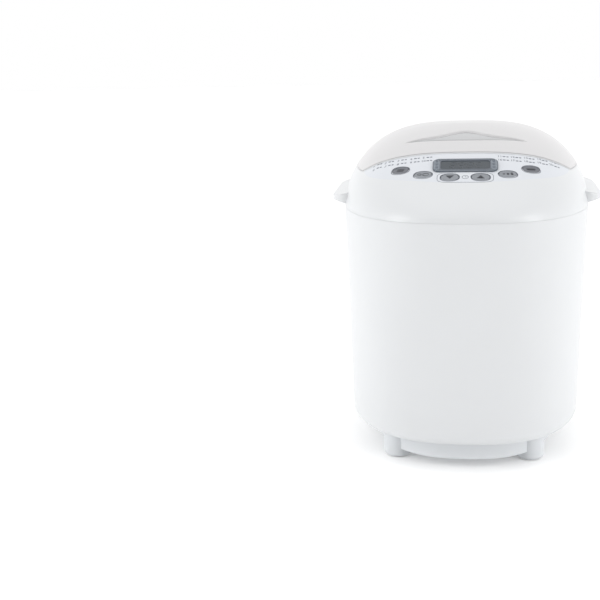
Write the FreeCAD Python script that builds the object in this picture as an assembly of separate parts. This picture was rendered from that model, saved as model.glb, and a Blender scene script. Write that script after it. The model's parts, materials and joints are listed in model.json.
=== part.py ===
import FreeCAD, Part
import math
import os

# Domed bread machine. Millimetres, +Z up, the front faces -Y, +X is to the right as one faces the front.
# The origin is the centre of the footprint, on the surface that the machine stands on.

# ---------------------------------------------------------------- driving dimensions
# outer form
SEAM_HALF_WIDTH = 121.0      # half width of the casing at the seam between its two shells
SEAM_HALF_DEPTH = 153.0      # half depth of the casing at the same height
BOTTOM_HALF_WIDTH = SEAM_HALF_WIDTH - 5.5    # half width of the lower shell at its bottom edge
BOTTOM_HALF_DEPTH = SEAM_HALF_DEPTH - 7.0
PLAN_POWER = 2.5             # power of the rounded plan outline
SHELL_BOTTOM = 28.0          # height of the lower shell's bottom edge
SEAM_HEIGHT = 244.0
CREST_HEIGHT = 317.5         # top of the domed lid
CREST_Y = 20.0               # how far behind the centre the crest lies
BOTTOM_EDGE = 8.0            # rounding of the lower shell's bottom edge
SEAM_GAP = 0.3
SHELL_WALL = 2.5
HOUSING_WALL = 3.2
LID_WALL = 2.8
DECK = 3.0                   # flat deck of the top housing, round the oven's mouth

# control console, a lens on the dome's front
LENS_HALF_WIDTH = SEAM_HALF_WIDTH - 20.0      # from the middle to each pointed tip
LENS_TIP_Y = -51.0
LENS_FRONT_BOW = 66.0        # how far the front edge bows forward of the tips
LENS_REAR_BOW = 12.0         # how far the rear edge, next to the lid, bows forward
PANEL_SLOPE = 21.8           # degrees
PANEL_SKIN = 1.2
PANEL_MIDDLE_Y = -90.0
LENS_MARGIN = 1.2            # strip of housing left in front of the fascia

# display and buttons, in the panel's own plane: across, and up the slope
BEZEL_LENGTH = 61.0
BEZEL_HEIGHT = 24.0
BEZEL_CORNER = 7.0
BEZEL_UP = 2.0
BEZEL_PROUD = 0.6
BEZEL_DEPTH = 6.0
SCREEN_LENGTH = 46.0
SCREEN_HEIGHT = 16.0
SCREEN_CORNER = 2.5
SCREEN_THICKNESS = 1.4
BUTTON_LENGTH = 17.0
BUTTON_HEIGHT = 11.0
BUTTON_PROUD = 1.0
BUTTON_TRAVEL = 1.2
BUTTON_GAP = 0.35
BUTTON_ROOT = 2.2            # how far a button's body reaches below the housing's wall
BUTTON_STEM_RADIUS = 2.2
BUTTON_STEM = 3.0
BUTTONS = [                  # name, across, along Y, turn in degrees
    ("button_menu", -61.0, -87.0, -19.0),
    ("button_loaf_size", -39.3, -100.5, -11.0),
    ("button_time_down", -14.2, -107.4, 0.0),
    ("button_time_up", 14.2, -107.4, 0.0),
    ("button_crust", 39.3, -100.5, 11.0),
    ("button_start_stop", 61.0, -87.0, 19.0),
]
BOARD_LENGTH = 150.0
BOARD_HEIGHT = 42.0
BOARD_THICKNESS = 1.6
BOARD_UP = -9.0
SWITCH_SIDE = 6.0
SWITCH_HEIGHT = 3.6

# lid
WINDOW_HALF_WIDTH = 58.0
WINDOW_FRONT_Y = -35.0
WINDOW_BOW = 4.0             # how far the window's two ends lie behind its front edge
WINDOW_BAND = 8.5            # its front to back size beside the hump
WINDOW_HUMP = 13.0           # extra size at its middle
WINDOW_THICKNESS = 2.0
WINDOW_RECESS = 1.2
LID_GAP = 0.3                # clear gap between the closed lid and the housing
HINGE_X = 58.0               # half the distance between the two hinges
HINGE_BACK = 4.0             # pin axis behind the lid's rear edge
HINGE_UP = 2.0               # pin axis above the deck
PIN_RADIUS = 1.75
PIN_CLEARANCE = 0.06         # radial
KNUCKLE_RADIUS = 4.4
KNUCKLE_LENGTH = 14.0
EAR_THICKNESS = 4.0
EAR_GAP = 0.4
EAR_REACH = 28.0             # how far the hinge arms reach forward of the pin, to meet the curved casing
EAR_ROOT = 14.0              # height of an ear's root below the deck

# side grips
GRIP_REACH = SEAM_HALF_WIDTH + 11.5           # half width over the grips
GRIP_LENGTH = 112.0
GRIP_MIDDLE = 252.5
GRIP_ROOT_HEIGHT = 8.5
GRIP_TIP_HEIGHT = 3.6

# base
SKIRT_INSET = 15.0           # front and rear, inside the lower shell's bottom edge
SKIRT_SIDE_INSET = 25.0
SKIRT_FLANGE = 9.0           # underside of the lower shell that reaches in over the skirt
SKIRT_BOTTOM = 10.0
SKIRT_WALL = 2.5
TRAY_FLOOR = 3.0
FOOT_RADIUS = 13.7
FOOT_X = BOTTOM_HALF_WIDTH - 50.6
FOOT_Y = BOTTOM_HALF_DEPTH - 51.0
FOOT_EDGE = 3.0
PAD_RADIUS = 9.0
PAD_THICKNESS = 2.0
PAD_PROUD = 1.0
VENT_BOTTOM = 150.0
VENT_WIDTH = 3.2
VENT_LENGTH = 34.0
VENT_PITCH = 8.0
VENT_COUNT = 9
AIR_SLOTS = 7                # in the tray's floor, under the drive
AIR_SLOT_WIDTH = 3.0
AIR_SLOT_PITCH = 9.0
AIR_SLOT_HALF = 36.0
AIR_SLOT_START = 40.0

# oven and pan
OVEN_Y = 33.0                # centre of the oven, the pan and the drive axis
OVEN_HALF_WIDTH = 80.0
OVEN_HALF_DEPTH = 87.0
OVEN_CORNER = 38.0
OVEN_FLOOR = 72.0
OVEN_SHEET = 1.0
OVEN_FLANGE = 4.0
PAN_HALF_WIDTH = 64.0
PAN_HALF_DEPTH = 72.0
PAN_CORNER = 24.0
PAN_FLOOR = 96.0
PAN_RIM = 258.0
PAN_SHEET = 1.5
PAN_RIM_WIDTH = 3.0
PAN_COLLAR_RADIUS = 38.0
PAN_COLLAR_SHEET = 2.0
PAN_EDGE = 6.0               # rounding between the pan's walls and its floor
PAN_BUSH_RADIUS = 8.0
LUG_SHEET = 1.8              # sheet of the lugs that carry the handle
PIVOT_HEIGHT = 264.0
PIVOT_RADIUS = 2.0
PIVOT_CLEARANCE = 0.06
HANDLE_WIRE = 2.5            # radius of the handle's wire
HANDLE_REACH = 64.0
HANDLE_BEND = 14.0
GASKET_WIDTH = 3.0
GASKET_HEIGHT = 3.0
LINER_PLATE = 1.5

# heating element
ELEMENT_RADIUS = 3.3
ELEMENT_HEIGHT = 96.0
ELEMENT_CORNER = 26.0
ELEMENT_TAIL = 14.0          # half the distance between its two ends
ELEMENT_OUT = 16.0           # how far its ends pass in front of the liner
ELEMENT_END_BEND = 7.0
CLIP_SPACING = 30.0          # of the element's clips, each side of the oven's middle
SENSOR_RADIUS = 2.5
SENSOR_X = -46.0
SENSOR_HEIGHT = 140.0
FUSE_HEIGHT = 190.0
FUSE_RADIUS = 2.6
BRACKET_X = 48.0             # legs under the oven
BRACKET_Y = 52.0
BRACKET_HALF = 8.0

# drive
SPINDLE_RADIUS = 4.0
SPINDLE_BOTTOM = 22.0
RUNNING_FIT = 0.05
COUPLING_RADIUS = 13.0
COUPLING_TOP = 84.0
LUG_HEIGHT = 5.0
LUG_WIDTH = 4.0
LUG_GAP = 3.4                # half the slot between the lugs, for the pan's wing
BEARING_RADIUS = 12.0
BEARING_FLANGE = 22.0
PULLEY_RADIUS = 50.0
PULLEY_WIDTH = 10.0
PULLEY_MIDDLE = 33.0
MOTOR_PULLEY_RADIUS = 9.0
MOTOR_X = 34.0
MOTOR_Y = -100.0
BELT_THICKNESS = 2.0
BELT_WIDTH = 6.0
BELT_GAP = 0.3
GROOVE = 1.5
MOTOR_BOTTOM = 56.0
MOTOR_HEIGHT = 44.0
MOTOR_HALF = 30.0
ROTOR_RADIUS = 17.0
ROTOR_GAP = 0.6
MOTOR_SHAFT_RADIUS = 3.0
MOTOR_PLATE = 3.0
FAN_RADIUS = 22.0
FAN_BLADES = 9
PADDLE_HUB = 9.0
PADDLE_BLADE = 46.0
PADDLE_HEIGHT = 26.0
CHASSIS_PLATE = 2.0
CHASSIS_TOP = 50.0
CHASSIS_HALF_WIDTH = 72.0
GAP = 0.3                    # clear gap between pieces of different bodies

# electrics
POWER_BOARD = (1.6, 66.0, 90.0)     # thickness, front to back, height
POWER_BOARD_FRONT = -116.0
POWER_BOARD_X = -72.0
POWER_BOARD_BOTTOM = 66.0
TRANSFORMER = (25.2, 32.0, 28.0)    # out from the board, front to back, height
TRANSFORMER_FRONT = -108.0
TRANSFORMER_BOTTOM = 78.0
WINDING_PROUD = 4.0          # how far the winding stands out of the core, front and rear
CAPACITOR_RADIUS = 11.0
CAPACITOR_HEIGHT = 130.0
GLAND_RADIUS = 8.0
GLAND_BORE = 3.6
GLAND_INSIDE = 14.0          # how far the sleeve reaches in from the rear wall
GLAND_X = 62.0
GLAND_Z = 52.0
GLAND_FLANGE = 2.5
SCREW_HEAD = 3.2
SCREW_SHANK = 1.5

# ---------------------------------------------------------------- worked-out values
OUTLINE_POINTS = 48
HEIGHT_STEPS = 14
SLOPE = math.radians(PANEL_SLOPE)
V = FreeCAD.Vector


def dome_section(height):
    """Half width, front Y and rear Y of the dome at a height."""
    share = min(max((height - SEAM_HEIGHT) / (CREST_HEIGHT - SEAM_HEIGHT), 0.0), 1.0)
    side = max(1.0 - share ** 2, 0.0) ** (1 / 2.8)
    front = max(1.0 - share ** 1.6, 0.0) ** (1 / 1.25)
    return (SEAM_HALF_WIDTH * side,
            CREST_Y - (CREST_Y + SEAM_HALF_DEPTH) * front,
            CREST_Y + (SEAM_HALF_DEPTH - CREST_Y) * side)


def dome_height(x, y):
    """Height of the dome's surface over a point of the plan."""
    low = SEAM_HEIGHT
    high = CREST_HEIGHT
    for _ in range(40):
        middle = (low + high) / 2
        half_width, front, rear = dome_section(middle)
        reach = abs(x / half_width) ** PLAN_POWER
        reach += abs((y - (front + rear) / 2) / ((rear - front) / 2)) ** PLAN_POWER
        if reach < 1:
            low = middle
        else:
            high = middle
    return low


DECK_HEIGHT = dome_height(LENS_HALF_WIDTH, LENS_TIP_Y)
LID_REAR = dome_section(DECK_HEIGHT)[2]
HINGE_Y = LID_REAR + HINGE_BACK
HINGE_Z = DECK_HEIGHT + HINGE_UP
PANEL_MIDDLE_Z = dome_height(0, PANEL_MIDDLE_Y)
OVEN_TOP = DECK_HEIGHT - DECK
OVEN_FRONT = OVEN_Y - OVEN_HALF_DEPTH
CLIP_RADIUS = ELEMENT_RADIUS + 1.2
FAR = 400.0


# ---------------------------------------------------------------- helpers
def turned_round(shape, y=0.0):
    """A copy of a piece on the machine's other side, half a turn about the upright line at Y."""
    turned = shape.copy()
    turned.rotate(V(0, y, 0), V(0, 0, 1), 180)
    return turned


def cylinder(radius, bottom, top, x=0.0, y=0.0):
    return Part.makeCylinder(radius, top - bottom, V(x, y, bottom))


def rod_x(radius, x0, x1, y, z):
    return Part.makeCylinder(radius, x1 - x0, V(x0, y, z), V(1, 0, 0))


def rod_y(radius, y0, y1, x, z):
    return Part.makeCylinder(radius, y1 - y0, V(x, y0, z), V(0, 1, 0))


def block(x0, x1, y0, y1, z0, z1):
    return Part.makeBox(x1 - x0, y1 - y0, z1 - z0, V(x0, y0, z0))


def rounded_wire(half_x, half_y, corner, x=0.0, y=0.0, z=0.0):
    """A rectangle with round corners, as a closed wire."""
    lift = corner * (1 - math.sqrt(0.5))
    edges = []
    marks = [(1, -1), (1, 1), (-1, 1), (-1, -1)]
    for index, (side_x, side_y) in enumerate(marks):
        corner_x = x + side_x * half_x
        corner_y = y + side_y * half_y
        along_x = V(corner_x - side_x * corner, corner_y, z)
        along_y = V(corner_x, corner_y - side_y * corner, z)
        middle = V(corner_x - side_x * lift, corner_y - side_y * lift, z)
        ends = (along_x, along_y) if index % 2 == 0 else (along_y, along_x)
        if edges:
            edges.append(Part.LineSegment(last, ends[0]).toShape())
        else:
            first = ends[0]
        edges.append(Part.Arc(ends[0], middle, ends[1]).toShape())
        last = ends[1]
    edges.append(Part.LineSegment(last, first).toShape())
    return Part.Wire(edges)


def rounded_block(half_x, half_y, corner, z0, z1, x=0.0, y=0.0):
    face = Part.Face(rounded_wire(half_x, half_y, corner, x, y, z0))
    return face.extrude(V(0, 0, z1 - z0))


def oval(length, height, z0, z1):
    """A cap with a superellipse outline, between two heights."""
    points = []
    for step in range(24):
        angle = 2 * math.pi * step / 24
        across = math.copysign(abs(math.cos(angle)) ** 0.85, math.cos(angle))
        along = math.copysign(abs(math.sin(angle)) ** 0.85, math.sin(angle))
        points.append(V(length / 2 * across, height / 2 * along, z0))
    curve = Part.BSplineCurve()
    curve.interpolate(points, PeriodicFlag=True)
    return Part.Face(Part.Wire(curve.toShape())).extrude(V(0, 0, z1 - z0))


def outline(half_width, front, rear, height):
    """The casing's rounded plan outline at a height, as a closed wire."""
    middle = (front + rear) / 2
    half_depth = (rear - front) / 2
    points = []
    for step in range(OUTLINE_POINTS):
        angle = 2 * math.pi * step / OUTLINE_POINTS + math.pi / 2
        cosine = math.cos(angle)
        sine = math.sin(angle)
        reach = (abs(cosine) ** PLAN_POWER + abs(sine) ** PLAN_POWER) ** (-1 / PLAN_POWER)
        points.append(V(half_width * reach * cosine, middle + half_depth * reach * sine, height))
    curve = Part.BSplineCurve()
    curve.interpolate(points, PeriodicFlag=True)
    return Part.Wire(curve.toShape())


DOMES = {}


def dome(inset):
    """The dome above the seam, all its faces moved in by an inset; each inset is lofted once."""
    if inset not in DOMES:
        DOMES[inset] = lofted_dome(inset)
    return DOMES[inset]


def lofted_dome(inset):
    wires = []
    for step in range(HEIGHT_STEPS):
        angle = math.radians(88.0) * step / (HEIGHT_STEPS - 1)
        height = SEAM_HEIGHT + (CREST_HEIGHT - SEAM_HEIGHT) * math.sin(angle)
        half_width, front, rear = dome_section(height)
        slant = inset * math.cos(angle) ** 0.5
        wires.append(outline(half_width - slant, front + slant, rear - slant,
                             height - inset * math.sin(angle)))
    return Part.makeLoft(wires, True, False)


def lower_section(pull, height):
    """Plan outline of the lower shell at a height, drawn in by a pull."""
    share = (height - SHELL_BOTTOM) / (SEAM_HEIGHT - SHELL_BOTTOM)
    half_width = BOTTOM_HALF_WIDTH + (SEAM_HALF_WIDTH - BOTTOM_HALF_WIDTH) * share - pull
    half_depth = BOTTOM_HALF_DEPTH + (SEAM_HALF_DEPTH - BOTTOM_HALF_DEPTH) * share - pull
    return outline(half_width, -half_depth, half_depth, height)


def lower_form(inset, top):
    """The lower shell's outer form, tapering to its rounded bottom edge."""
    bend = SHELL_BOTTOM + BOTTOM_EDGE
    rounding = []
    for angle in (0.0, 22.5, 45.0, 67.5, 90.0):
        turn = math.radians(angle)
        height = bend - BOTTOM_EDGE * math.cos(turn)
        rounding.append(lower_section(inset + BOTTOM_EDGE * (1 - math.sin(turn)), height))
    wall = [lower_section(inset, bend), lower_section(inset, top)]
    return Part.makeLoft(rounding, True, False).fuse(Part.makeLoft(wall, True, True))


def console_region(shift):
    """All that lies in front of the console's rear edge, moved back by a shift."""
    tip = V(LENS_HALF_WIDTH, LENS_TIP_Y + shift, 0)
    ellipse = Part.Ellipse(V(0, LENS_TIP_Y + shift, 0), LENS_HALF_WIDTH, LENS_REAR_BOW)
    arc = Part.Arc(ellipse, math.pi, 2 * math.pi).toShape()
    corners = [tip, V(FAR, tip.y, 0), V(FAR, -FAR, 0),
               V(-FAR, -FAR, 0), V(-FAR, tip.y, 0), V(-tip.x, tip.y, 0)]
    lines = [Part.LineSegment(a, b).toShape() for a, b in zip(corners, corners[1:])]
    return Part.Face(Part.Wire(Part.sortEdges([arc] + lines)[0])).extrude(V(0, 0, FAR))


def lens_region(shrink):
    """The fascia's lens outline in plan, drawn in by a margin, as a tall prism."""
    half = LENS_HALF_WIDTH - 2 * shrink
    arc = Part.Arc(Part.Ellipse(V(0, 0, 0), half, LENS_FRONT_BOW - shrink), math.pi, 2 * math.pi)
    chord = Part.LineSegment(V(half, 0, 0), V(-half, 0, 0))
    wire = Part.Wire([arc.toShape(), chord.toShape()])
    wire.translate(V(0, LENS_TIP_Y, 0))
    front = Part.Face(wire).extrude(V(0, 0, FAR))
    return front.common(console_region(-LID_GAP - shrink))


def on_panel(shape, across=0.0, up=0.0, turn=0.0):
    """Place a shape drawn on the panel's own plane onto the machine."""
    copy = shape.copy()
    copy.rotate(V(0, 0, 0), V(0, 0, 1), turn)
    copy.translate(V(across, up, 0))
    copy.rotate(V(0, 0, 0), V(1, 0, 0), PANEL_SLOPE)
    copy.translate(V(0, PANEL_MIDDLE_Y, PANEL_MIDDLE_Z))
    return copy


def up_slope(y):
    """Distance up the panel's slope of a place that is given along Y."""
    return (y - PANEL_MIDDLE_Y) / math.cos(SLOPE)


def panel_drop(across, y):
    """Depth of the domed surface under the panel's plane at a place."""
    plane = PANEL_MIDDLE_Z + (y - PANEL_MIDDLE_Y) * math.tan(SLOPE)
    return (plane - dome_height(across, y)) * math.cos(SLOPE)


def bent_rod(points, radius, bend):
    """A round rod along straight runs joined by tangent arcs in one plane."""
    edges = []
    start = points[0]
    for before, corner, after in zip(points, points[1:], points[2:]):
        to_before = (before - corner).normalize()
        to_after = (after - corner).normalize()
        half = to_before.getAngle(to_after) / 2
        reach = bend / math.tan(half)
        centre = corner + (to_before + to_after).normalize() * (bend / math.sin(half))
        middle = centre + (corner - centre).normalize() * bend
        enter = corner + to_before * reach
        leave = corner + to_after * reach
        edges.append(Part.LineSegment(start, enter).toShape())
        edges.append(Part.Arc(enter, middle, leave).toShape())
        start = leave
    edges.append(Part.LineSegment(start, points[-1]).toShape())
    path = Part.Wire(edges)
    heading = points[1] - points[0]
    profile = Part.Wire(Part.makeCircle(radius, points[0], heading))
    return path.makePipeShell([profile], True, False)


def screw(x, y, z, down=True, length=8.0):
    """A pan-head screw whose head sits on a face at height z."""
    way = 1 if down else -1
    head = Part.makeCylinder(SCREW_HEAD, 2.0, V(x, y, z), V(0, 0, way))
    shank = Part.makeCylinder(SCREW_SHANK, length, V(x, y, z), V(0, 0, -way))
    return head.fuse(shank)


NODES = {}


def keep(name, shape):
    """Remember a piece under the name that its file gets."""
    NODES[name] = shape


def group(shapes):
    return Part.makeCompound(shapes)


# ---------------------------------------------------------------- casing
def body_shell():
    shell = lower_form(0.0, SEAM_HEIGHT - SEAM_GAP)
    inside = lower_form(SHELL_WALL, SEAM_HEIGHT + 1)
    shell = shell.cut(inside.common(block(-FAR, FAR, -FAR, FAR, SHELL_BOTTOM + SHELL_WALL, FAR)))
    # the underside is open inside the skirt's footprint
    shell = shell.cut(skirt_outline(-SKIRT_FLANGE, 0, SHELL_BOTTOM + SHELL_WALL + 1))
    for x, y in foot_places():
        shell = shell.cut(cylinder(SCREW_SHANK, 0, SHELL_BOTTOM + SHELL_WALL + 1, x, y))
    for index in range(VENT_COUNT):
        x = (index - (VENT_COUNT - 1) / 2) * VENT_PITCH
        slot = block(x - VENT_WIDTH / 2, x + VENT_WIDTH / 2, 0, FAR, VENT_BOTTOM, VENT_BOTTOM + VENT_LENGTH)
        shell = shell.cut(slot)
    shell = shell.cut(rod_y(GLAND_RADIUS - GLAND_FLANGE + 0.5, 100, FAR, GLAND_X, GLAND_Z))
    return shell


def skirt_outline(grow, bottom, top):
    """Prism of the skirt's plan outline."""
    half_width = BOTTOM_HALF_WIDTH - SKIRT_SIDE_INSET + grow
    half_depth = BOTTOM_HALF_DEPTH - SKIRT_INSET + grow
    face = Part.Face(outline(half_width, -half_depth, half_depth, bottom))
    return face.extrude(V(0, 0, top - bottom))


def base_tray():
    tray = skirt_outline(0, SKIRT_BOTTOM, SHELL_BOTTOM)
    tray = tray.cut(skirt_outline(-SKIRT_WALL, SKIRT_BOTTOM + TRAY_FLOOR, SHELL_BOTTOM + 1))
    # rows of air slots under the drive
    for index in range(AIR_SLOTS):
        y = AIR_SLOT_START + index * AIR_SLOT_PITCH
        slot = block(-AIR_SLOT_HALF, AIR_SLOT_HALF, y, y + AIR_SLOT_WIDTH, 0, SKIRT_BOTTOM + TRAY_FLOOR + 1)
        tray = tray.cut(slot)
    for x, y in foot_places():
        tray = tray.cut(cylinder(FOOT_RADIUS, 0, FAR, x, y))
    return tray


def foot_places():
    return [(x, y) for y in (-FOOT_Y, FOOT_Y) for x in (-FOOT_X, FOOT_X)]


def foot(x, y):
    """A tall round foot that stands half outside the skirt, up to the lower shell's underside."""
    shape = cylinder(FOOT_RADIUS, PAD_PROUD, SHELL_BOTTOM, x, y)
    low = [edge for edge in shape.Edges if edge.BoundBox.ZMax < PAD_PROUD + 0.01]
    shape = shape.makeFillet(FOOT_EDGE, low)
    shape = shape.cut(cylinder(PAD_RADIUS, 0, PAD_THICKNESS, x, y))
    return shape.cut(foot_screw(x, y))


def foot_screw(x, y):
    head = cylinder(SCREW_HEAD, PAD_THICKNESS, PAD_THICKNESS + 2.2, x, y)
    return head.fuse(cylinder(SCREW_SHANK, PAD_THICKNESS, SHELL_BOTTOM + SHELL_WALL, x, y))


def top_housing():
    outer = dome(0.0)
    low = block(-FAR, FAR, -FAR, FAR, SEAM_HEIGHT, DECK_HEIGHT)
    front = console_region(-LID_GAP)
    housing = outer.common(low.fuse(front.common(block(-FAR, FAR, -FAR, FAR, SEAM_HEIGHT, FAR))))
    inner = dome(HOUSING_WALL)
    low_inside = block(-FAR, FAR, -FAR, FAR, SEAM_HEIGHT - 10, DECK_HEIGHT - DECK)
    front_inside = console_region(-LID_GAP - HOUSING_WALL)
    front_inside = front_inside.common(block(-FAR, FAR, -FAR, FAR, SEAM_HEIGHT - 10, FAR))
    housing = housing.cut(inner.common(low_inside.fuse(front_inside)))
    housing = housing.cut(rounded_block(OVEN_HALF_WIDTH, OVEN_HALF_DEPTH, OVEN_CORNER,
                                        OVEN_TOP - 1, DECK_HEIGHT + 1, 0, OVEN_Y))
    # recess for the fascia, and the openings behind it
    skin = outer.cut(dome(PANEL_SKIN))
    housing = housing.cut(skin.common(lens_region(LENS_MARGIN)))
    housing = housing.cut(bezel_cutter(-BEZEL_DEPTH - 10))
    for name, across, y, turn in BUTTONS:
        housing = housing.cut(button_cutter(across, y, turn))
    # hinge ears on the rear deck, each with its pin hole
    for side in (-1, 1):
        for ear in hinge_ears(side):
            housing = housing.fuse(ear)
        reach = KNUCKLE_LENGTH / 2 + EAR_GAP + EAR_THICKNESS + 1
        pin_hole = rod_x(PIN_RADIUS, side * HINGE_X - reach, side * HINGE_X + reach, HINGE_Y, HINGE_Z)
        housing = housing.cut(pin_hole)
    return housing


def bezel_cutter(depth):
    half_x = BEZEL_LENGTH / 2
    half_y = BEZEL_HEIGHT / 2
    return on_panel(rounded_block(half_x, half_y, BEZEL_CORNER, depth, 20), 0, BEZEL_UP)


def button_cutter(across, y, turn):
    drop = panel_drop(across, y)
    hole = oval(BUTTON_LENGTH + 2 * BUTTON_GAP, BUTTON_HEIGHT + 2 * BUTTON_GAP, -drop - 20, 20)
    return on_panel(hole, across, up_slope(y), turn)


def hinge_ears(side):
    """The two ears that hold one hinge pin, standing on the rear deck."""
    ears = []
    for end in (-1, 1):
        near = side * HINGE_X + end * (KNUCKLE_LENGTH / 2 + EAR_GAP)
        far = near + end * EAR_THICKNESS
        x0 = min(near, far)
        x1 = max(near, far)
        ear = rod_x(KNUCKLE_RADIUS, x0, x1, HINGE_Y, HINGE_Z)
        low = DECK_HEIGHT - EAR_ROOT
        neck = block(x0, x1, HINGE_Y - KNUCKLE_RADIUS, HINGE_Y + KNUCKLE_RADIUS, low, HINGE_Z)
        root = block(x0, x1, HINGE_Y - EAR_REACH, HINGE_Y, low, DECK_HEIGHT)
        arm = neck.fuse(root).cut(dome(HOUSING_WALL))
        ears.append(ear.fuse(arm))
    return ears


# ---------------------------------------------------------------- control panel
def control_panel():
    panel = dome(0.0).cut(dome(PANEL_SKIN)).common(lens_region(LENS_MARGIN))
    panel = panel.cut(bezel_cutter(-BEZEL_DEPTH - 10))
    for name, across, y, turn in BUTTONS:
        panel = panel.cut(button_cutter(across, y, turn))
    return panel


def display_bezel():
    half_x = BEZEL_LENGTH / 2
    half_y = BEZEL_HEIGHT / 2
    frame = rounded_block(half_x, half_y, BEZEL_CORNER, -BEZEL_DEPTH, BEZEL_PROUD)
    window = rounded_block(SCREEN_LENGTH / 2, SCREEN_HEIGHT / 2, SCREEN_CORNER,
                           -BEZEL_DEPTH - 1, BEZEL_PROUD + 1)
    return on_panel(frame.cut(window), 0, BEZEL_UP)


def display_lens():
    lens = rounded_block(SCREEN_LENGTH / 2, SCREEN_HEIGHT / 2, SCREEN_CORNER,
                         BEZEL_PROUD - 0.4 - SCREEN_THICKNESS, BEZEL_PROUD - 0.4)
    return on_panel(lens, 0, BEZEL_UP)


def lcd_module():
    glass = rounded_block(SCREEN_LENGTH / 2, SCREEN_HEIGHT / 2, SCREEN_CORNER,
                          -BEZEL_DEPTH, BEZEL_PROUD - 0.4 - SCREEN_THICKNESS)
    return on_panel(glass, 0, BEZEL_UP)


def button(across, y, turn):
    """A button cap that follows the dome, its retaining flange and its stem."""
    drop = panel_drop(across, y)
    under = -drop - HOUSING_WALL - BUTTON_ROOT
    cap = on_panel(oval(BUTTON_LENGTH, BUTTON_HEIGHT, under, 20), across, up_slope(y), turn)
    cap = cap.common(dome(-BUTTON_PROUD))
    stem = Part.makeCylinder(BUTTON_STEM_RADIUS, BUTTON_STEM, V(0, 0, under - BUTTON_STEM))
    return cap.fuse(on_panel(stem, across, up_slope(y), turn))


def board_level():
    """Depth of the control board's top face under the panel's plane."""
    deepest = max(panel_drop(across, y) for name, across, y, turn in BUTTONS)
    return -(deepest + HOUSING_WALL + BUTTON_ROOT + BUTTON_STEM + BUTTON_TRAVEL + 0.3 + SWITCH_HEIGHT)


def control_board():
    half_x = BOARD_LENGTH / 2
    half_y = BOARD_HEIGHT / 2
    top = board_level()
    plate = rounded_block(half_x, half_y, 10.0, top - BOARD_THICKNESS, top)
    return on_panel(plate, 0, BOARD_UP).common(dome(HOUSING_WALL + 0.5).fuse(lower_form(4, SEAM_HEIGHT)))


def tact_switches():
    switches = []
    base = board_level()
    for name, across, y, turn in BUTTONS:
        top = -panel_drop(across, y) - HOUSING_WALL - BUTTON_ROOT - BUTTON_STEM - BUTTON_TRAVEL - 0.3
        body = rounded_block(SWITCH_SIDE / 2, SWITCH_SIDE / 2, 0.8, base, top - 0.8)
        plunger = cylinder(1.7, top - 0.8, top)
        switches.append(on_panel(body.fuse(plunger), across, up_slope(y), turn))
    return group(switches)


# ---------------------------------------------------------------- lid
def window_wire(grow):
    """Outline of the viewing window in plan: a shallow lens with a hump at the middle of its rear."""
    points = []
    half = WINDOW_HALF_WIDTH + grow
    steps = 20
    for step in range(steps + 1):
        x = -half + 2 * half * step / steps
        bow = WINDOW_BOW * (x / half) ** 2
        points.append(V(x, WINDOW_FRONT_Y + bow - grow * (1 - (x / half) ** 2), 0))
    front = Part.BSplineCurve()
    front.interpolate(points)
    rear_points = []
    for step in range(steps + 1):
        x = half - 2 * half * step / steps
        share = 1 - (x / half) ** 2
        swell = (WINDOW_BAND + grow) * share ** 0.6 + WINDOW_HUMP * math.exp(-(x / 20.0) ** 2) * share
        y = WINDOW_FRONT_Y + WINDOW_BOW * (x / half) ** 2 + swell
        rear_points.append(V(x, y, 0))
    rear = Part.BSplineCurve()
    rear.interpolate(rear_points)
    return Part.Wire([front.toShape(), rear.toShape()])


def window_prism(grow):
    return Part.Face(window_wire(grow)).extrude(V(0, 0, FAR))


def lid_cover():
    above = block(-FAR, FAR, -FAR, FAR, DECK_HEIGHT + LID_GAP, FAR)
    region = above.cut(console_region(0.0))
    inside = block(-FAR, FAR, -FAR, FAR, 0, FAR).cut(console_region(LID_WALL))
    cover = dome(0.0).common(region)
    cover = cover.cut(dome(LID_WALL).common(inside))
    cover = cover.cut(dome(-1.0).cut(dome(WINDOW_RECESS + WINDOW_THICKNESS)).common(window_prism(0.0)))
    cover = cover.cut(window_prism(-3.0).common(block(-FAR, FAR, -FAR, FAR, DECK_HEIGHT + 8, FAR)))
    for side in (-1, 1):
        cover = cover.fuse(lid_knuckle(side))
        x = side * HINGE_X
        hole = rod_x(PIN_RADIUS + PIN_CLEARANCE, x - KNUCKLE_LENGTH, x + KNUCKLE_LENGTH, HINGE_Y, HINGE_Z)
        cover = cover.cut(hole)
    for x, y in lid_posts():
        cover = cover.fuse(lid_post(x, y))
    return cover


def lid_knuckle(side):
    """The lid's half of a hinge: an eye round the pin and the arm that joins it to the lid."""
    x0 = side * HINGE_X - KNUCKLE_LENGTH / 2
    x1 = side * HINGE_X + KNUCKLE_LENGTH / 2
    eye = rod_x(KNUCKLE_RADIUS, x0, x1, HINGE_Y, HINGE_Z)
    arm = block(x0, x1, HINGE_Y - EAR_REACH, HINGE_Y, HINGE_Z, HINGE_Z + KNUCKLE_RADIUS)
    return eye.fuse(arm.cut(dome(LID_WALL / 2)))


def lid_posts():
    return [(x, y) for x in (-58.0, 58.0) for y in (OVEN_Y - 40.0, OVEN_Y + 56.0)]


def liner_level():
    """Height of the lid liner's underside."""
    return DECK_HEIGHT + LID_GAP + GASKET_HEIGHT


def lid_post(x, y):
    post = cylinder(4.0, liner_level() + LINER_PLATE, CREST_HEIGHT, x, y)
    post = post.common(dome(LID_WALL / 2))
    return post.cut(cylinder(SCREW_SHANK, 0, liner_level() + LINER_PLATE + 7.0, x, y))


def lid_window():
    pane = dome(WINDOW_RECESS).cut(dome(WINDOW_RECESS + WINDOW_THICKNESS))
    return pane.common(window_prism(-0.05))


def liner_outline(grow, z0, z1):
    """Prism of the oven's plan outline, grown by some amount."""
    half_width = OVEN_HALF_WIDTH + grow
    return rounded_block(half_width, OVEN_HALF_DEPTH + grow, OVEN_CORNER + grow, z0, z1, 0, OVEN_Y)


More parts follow.
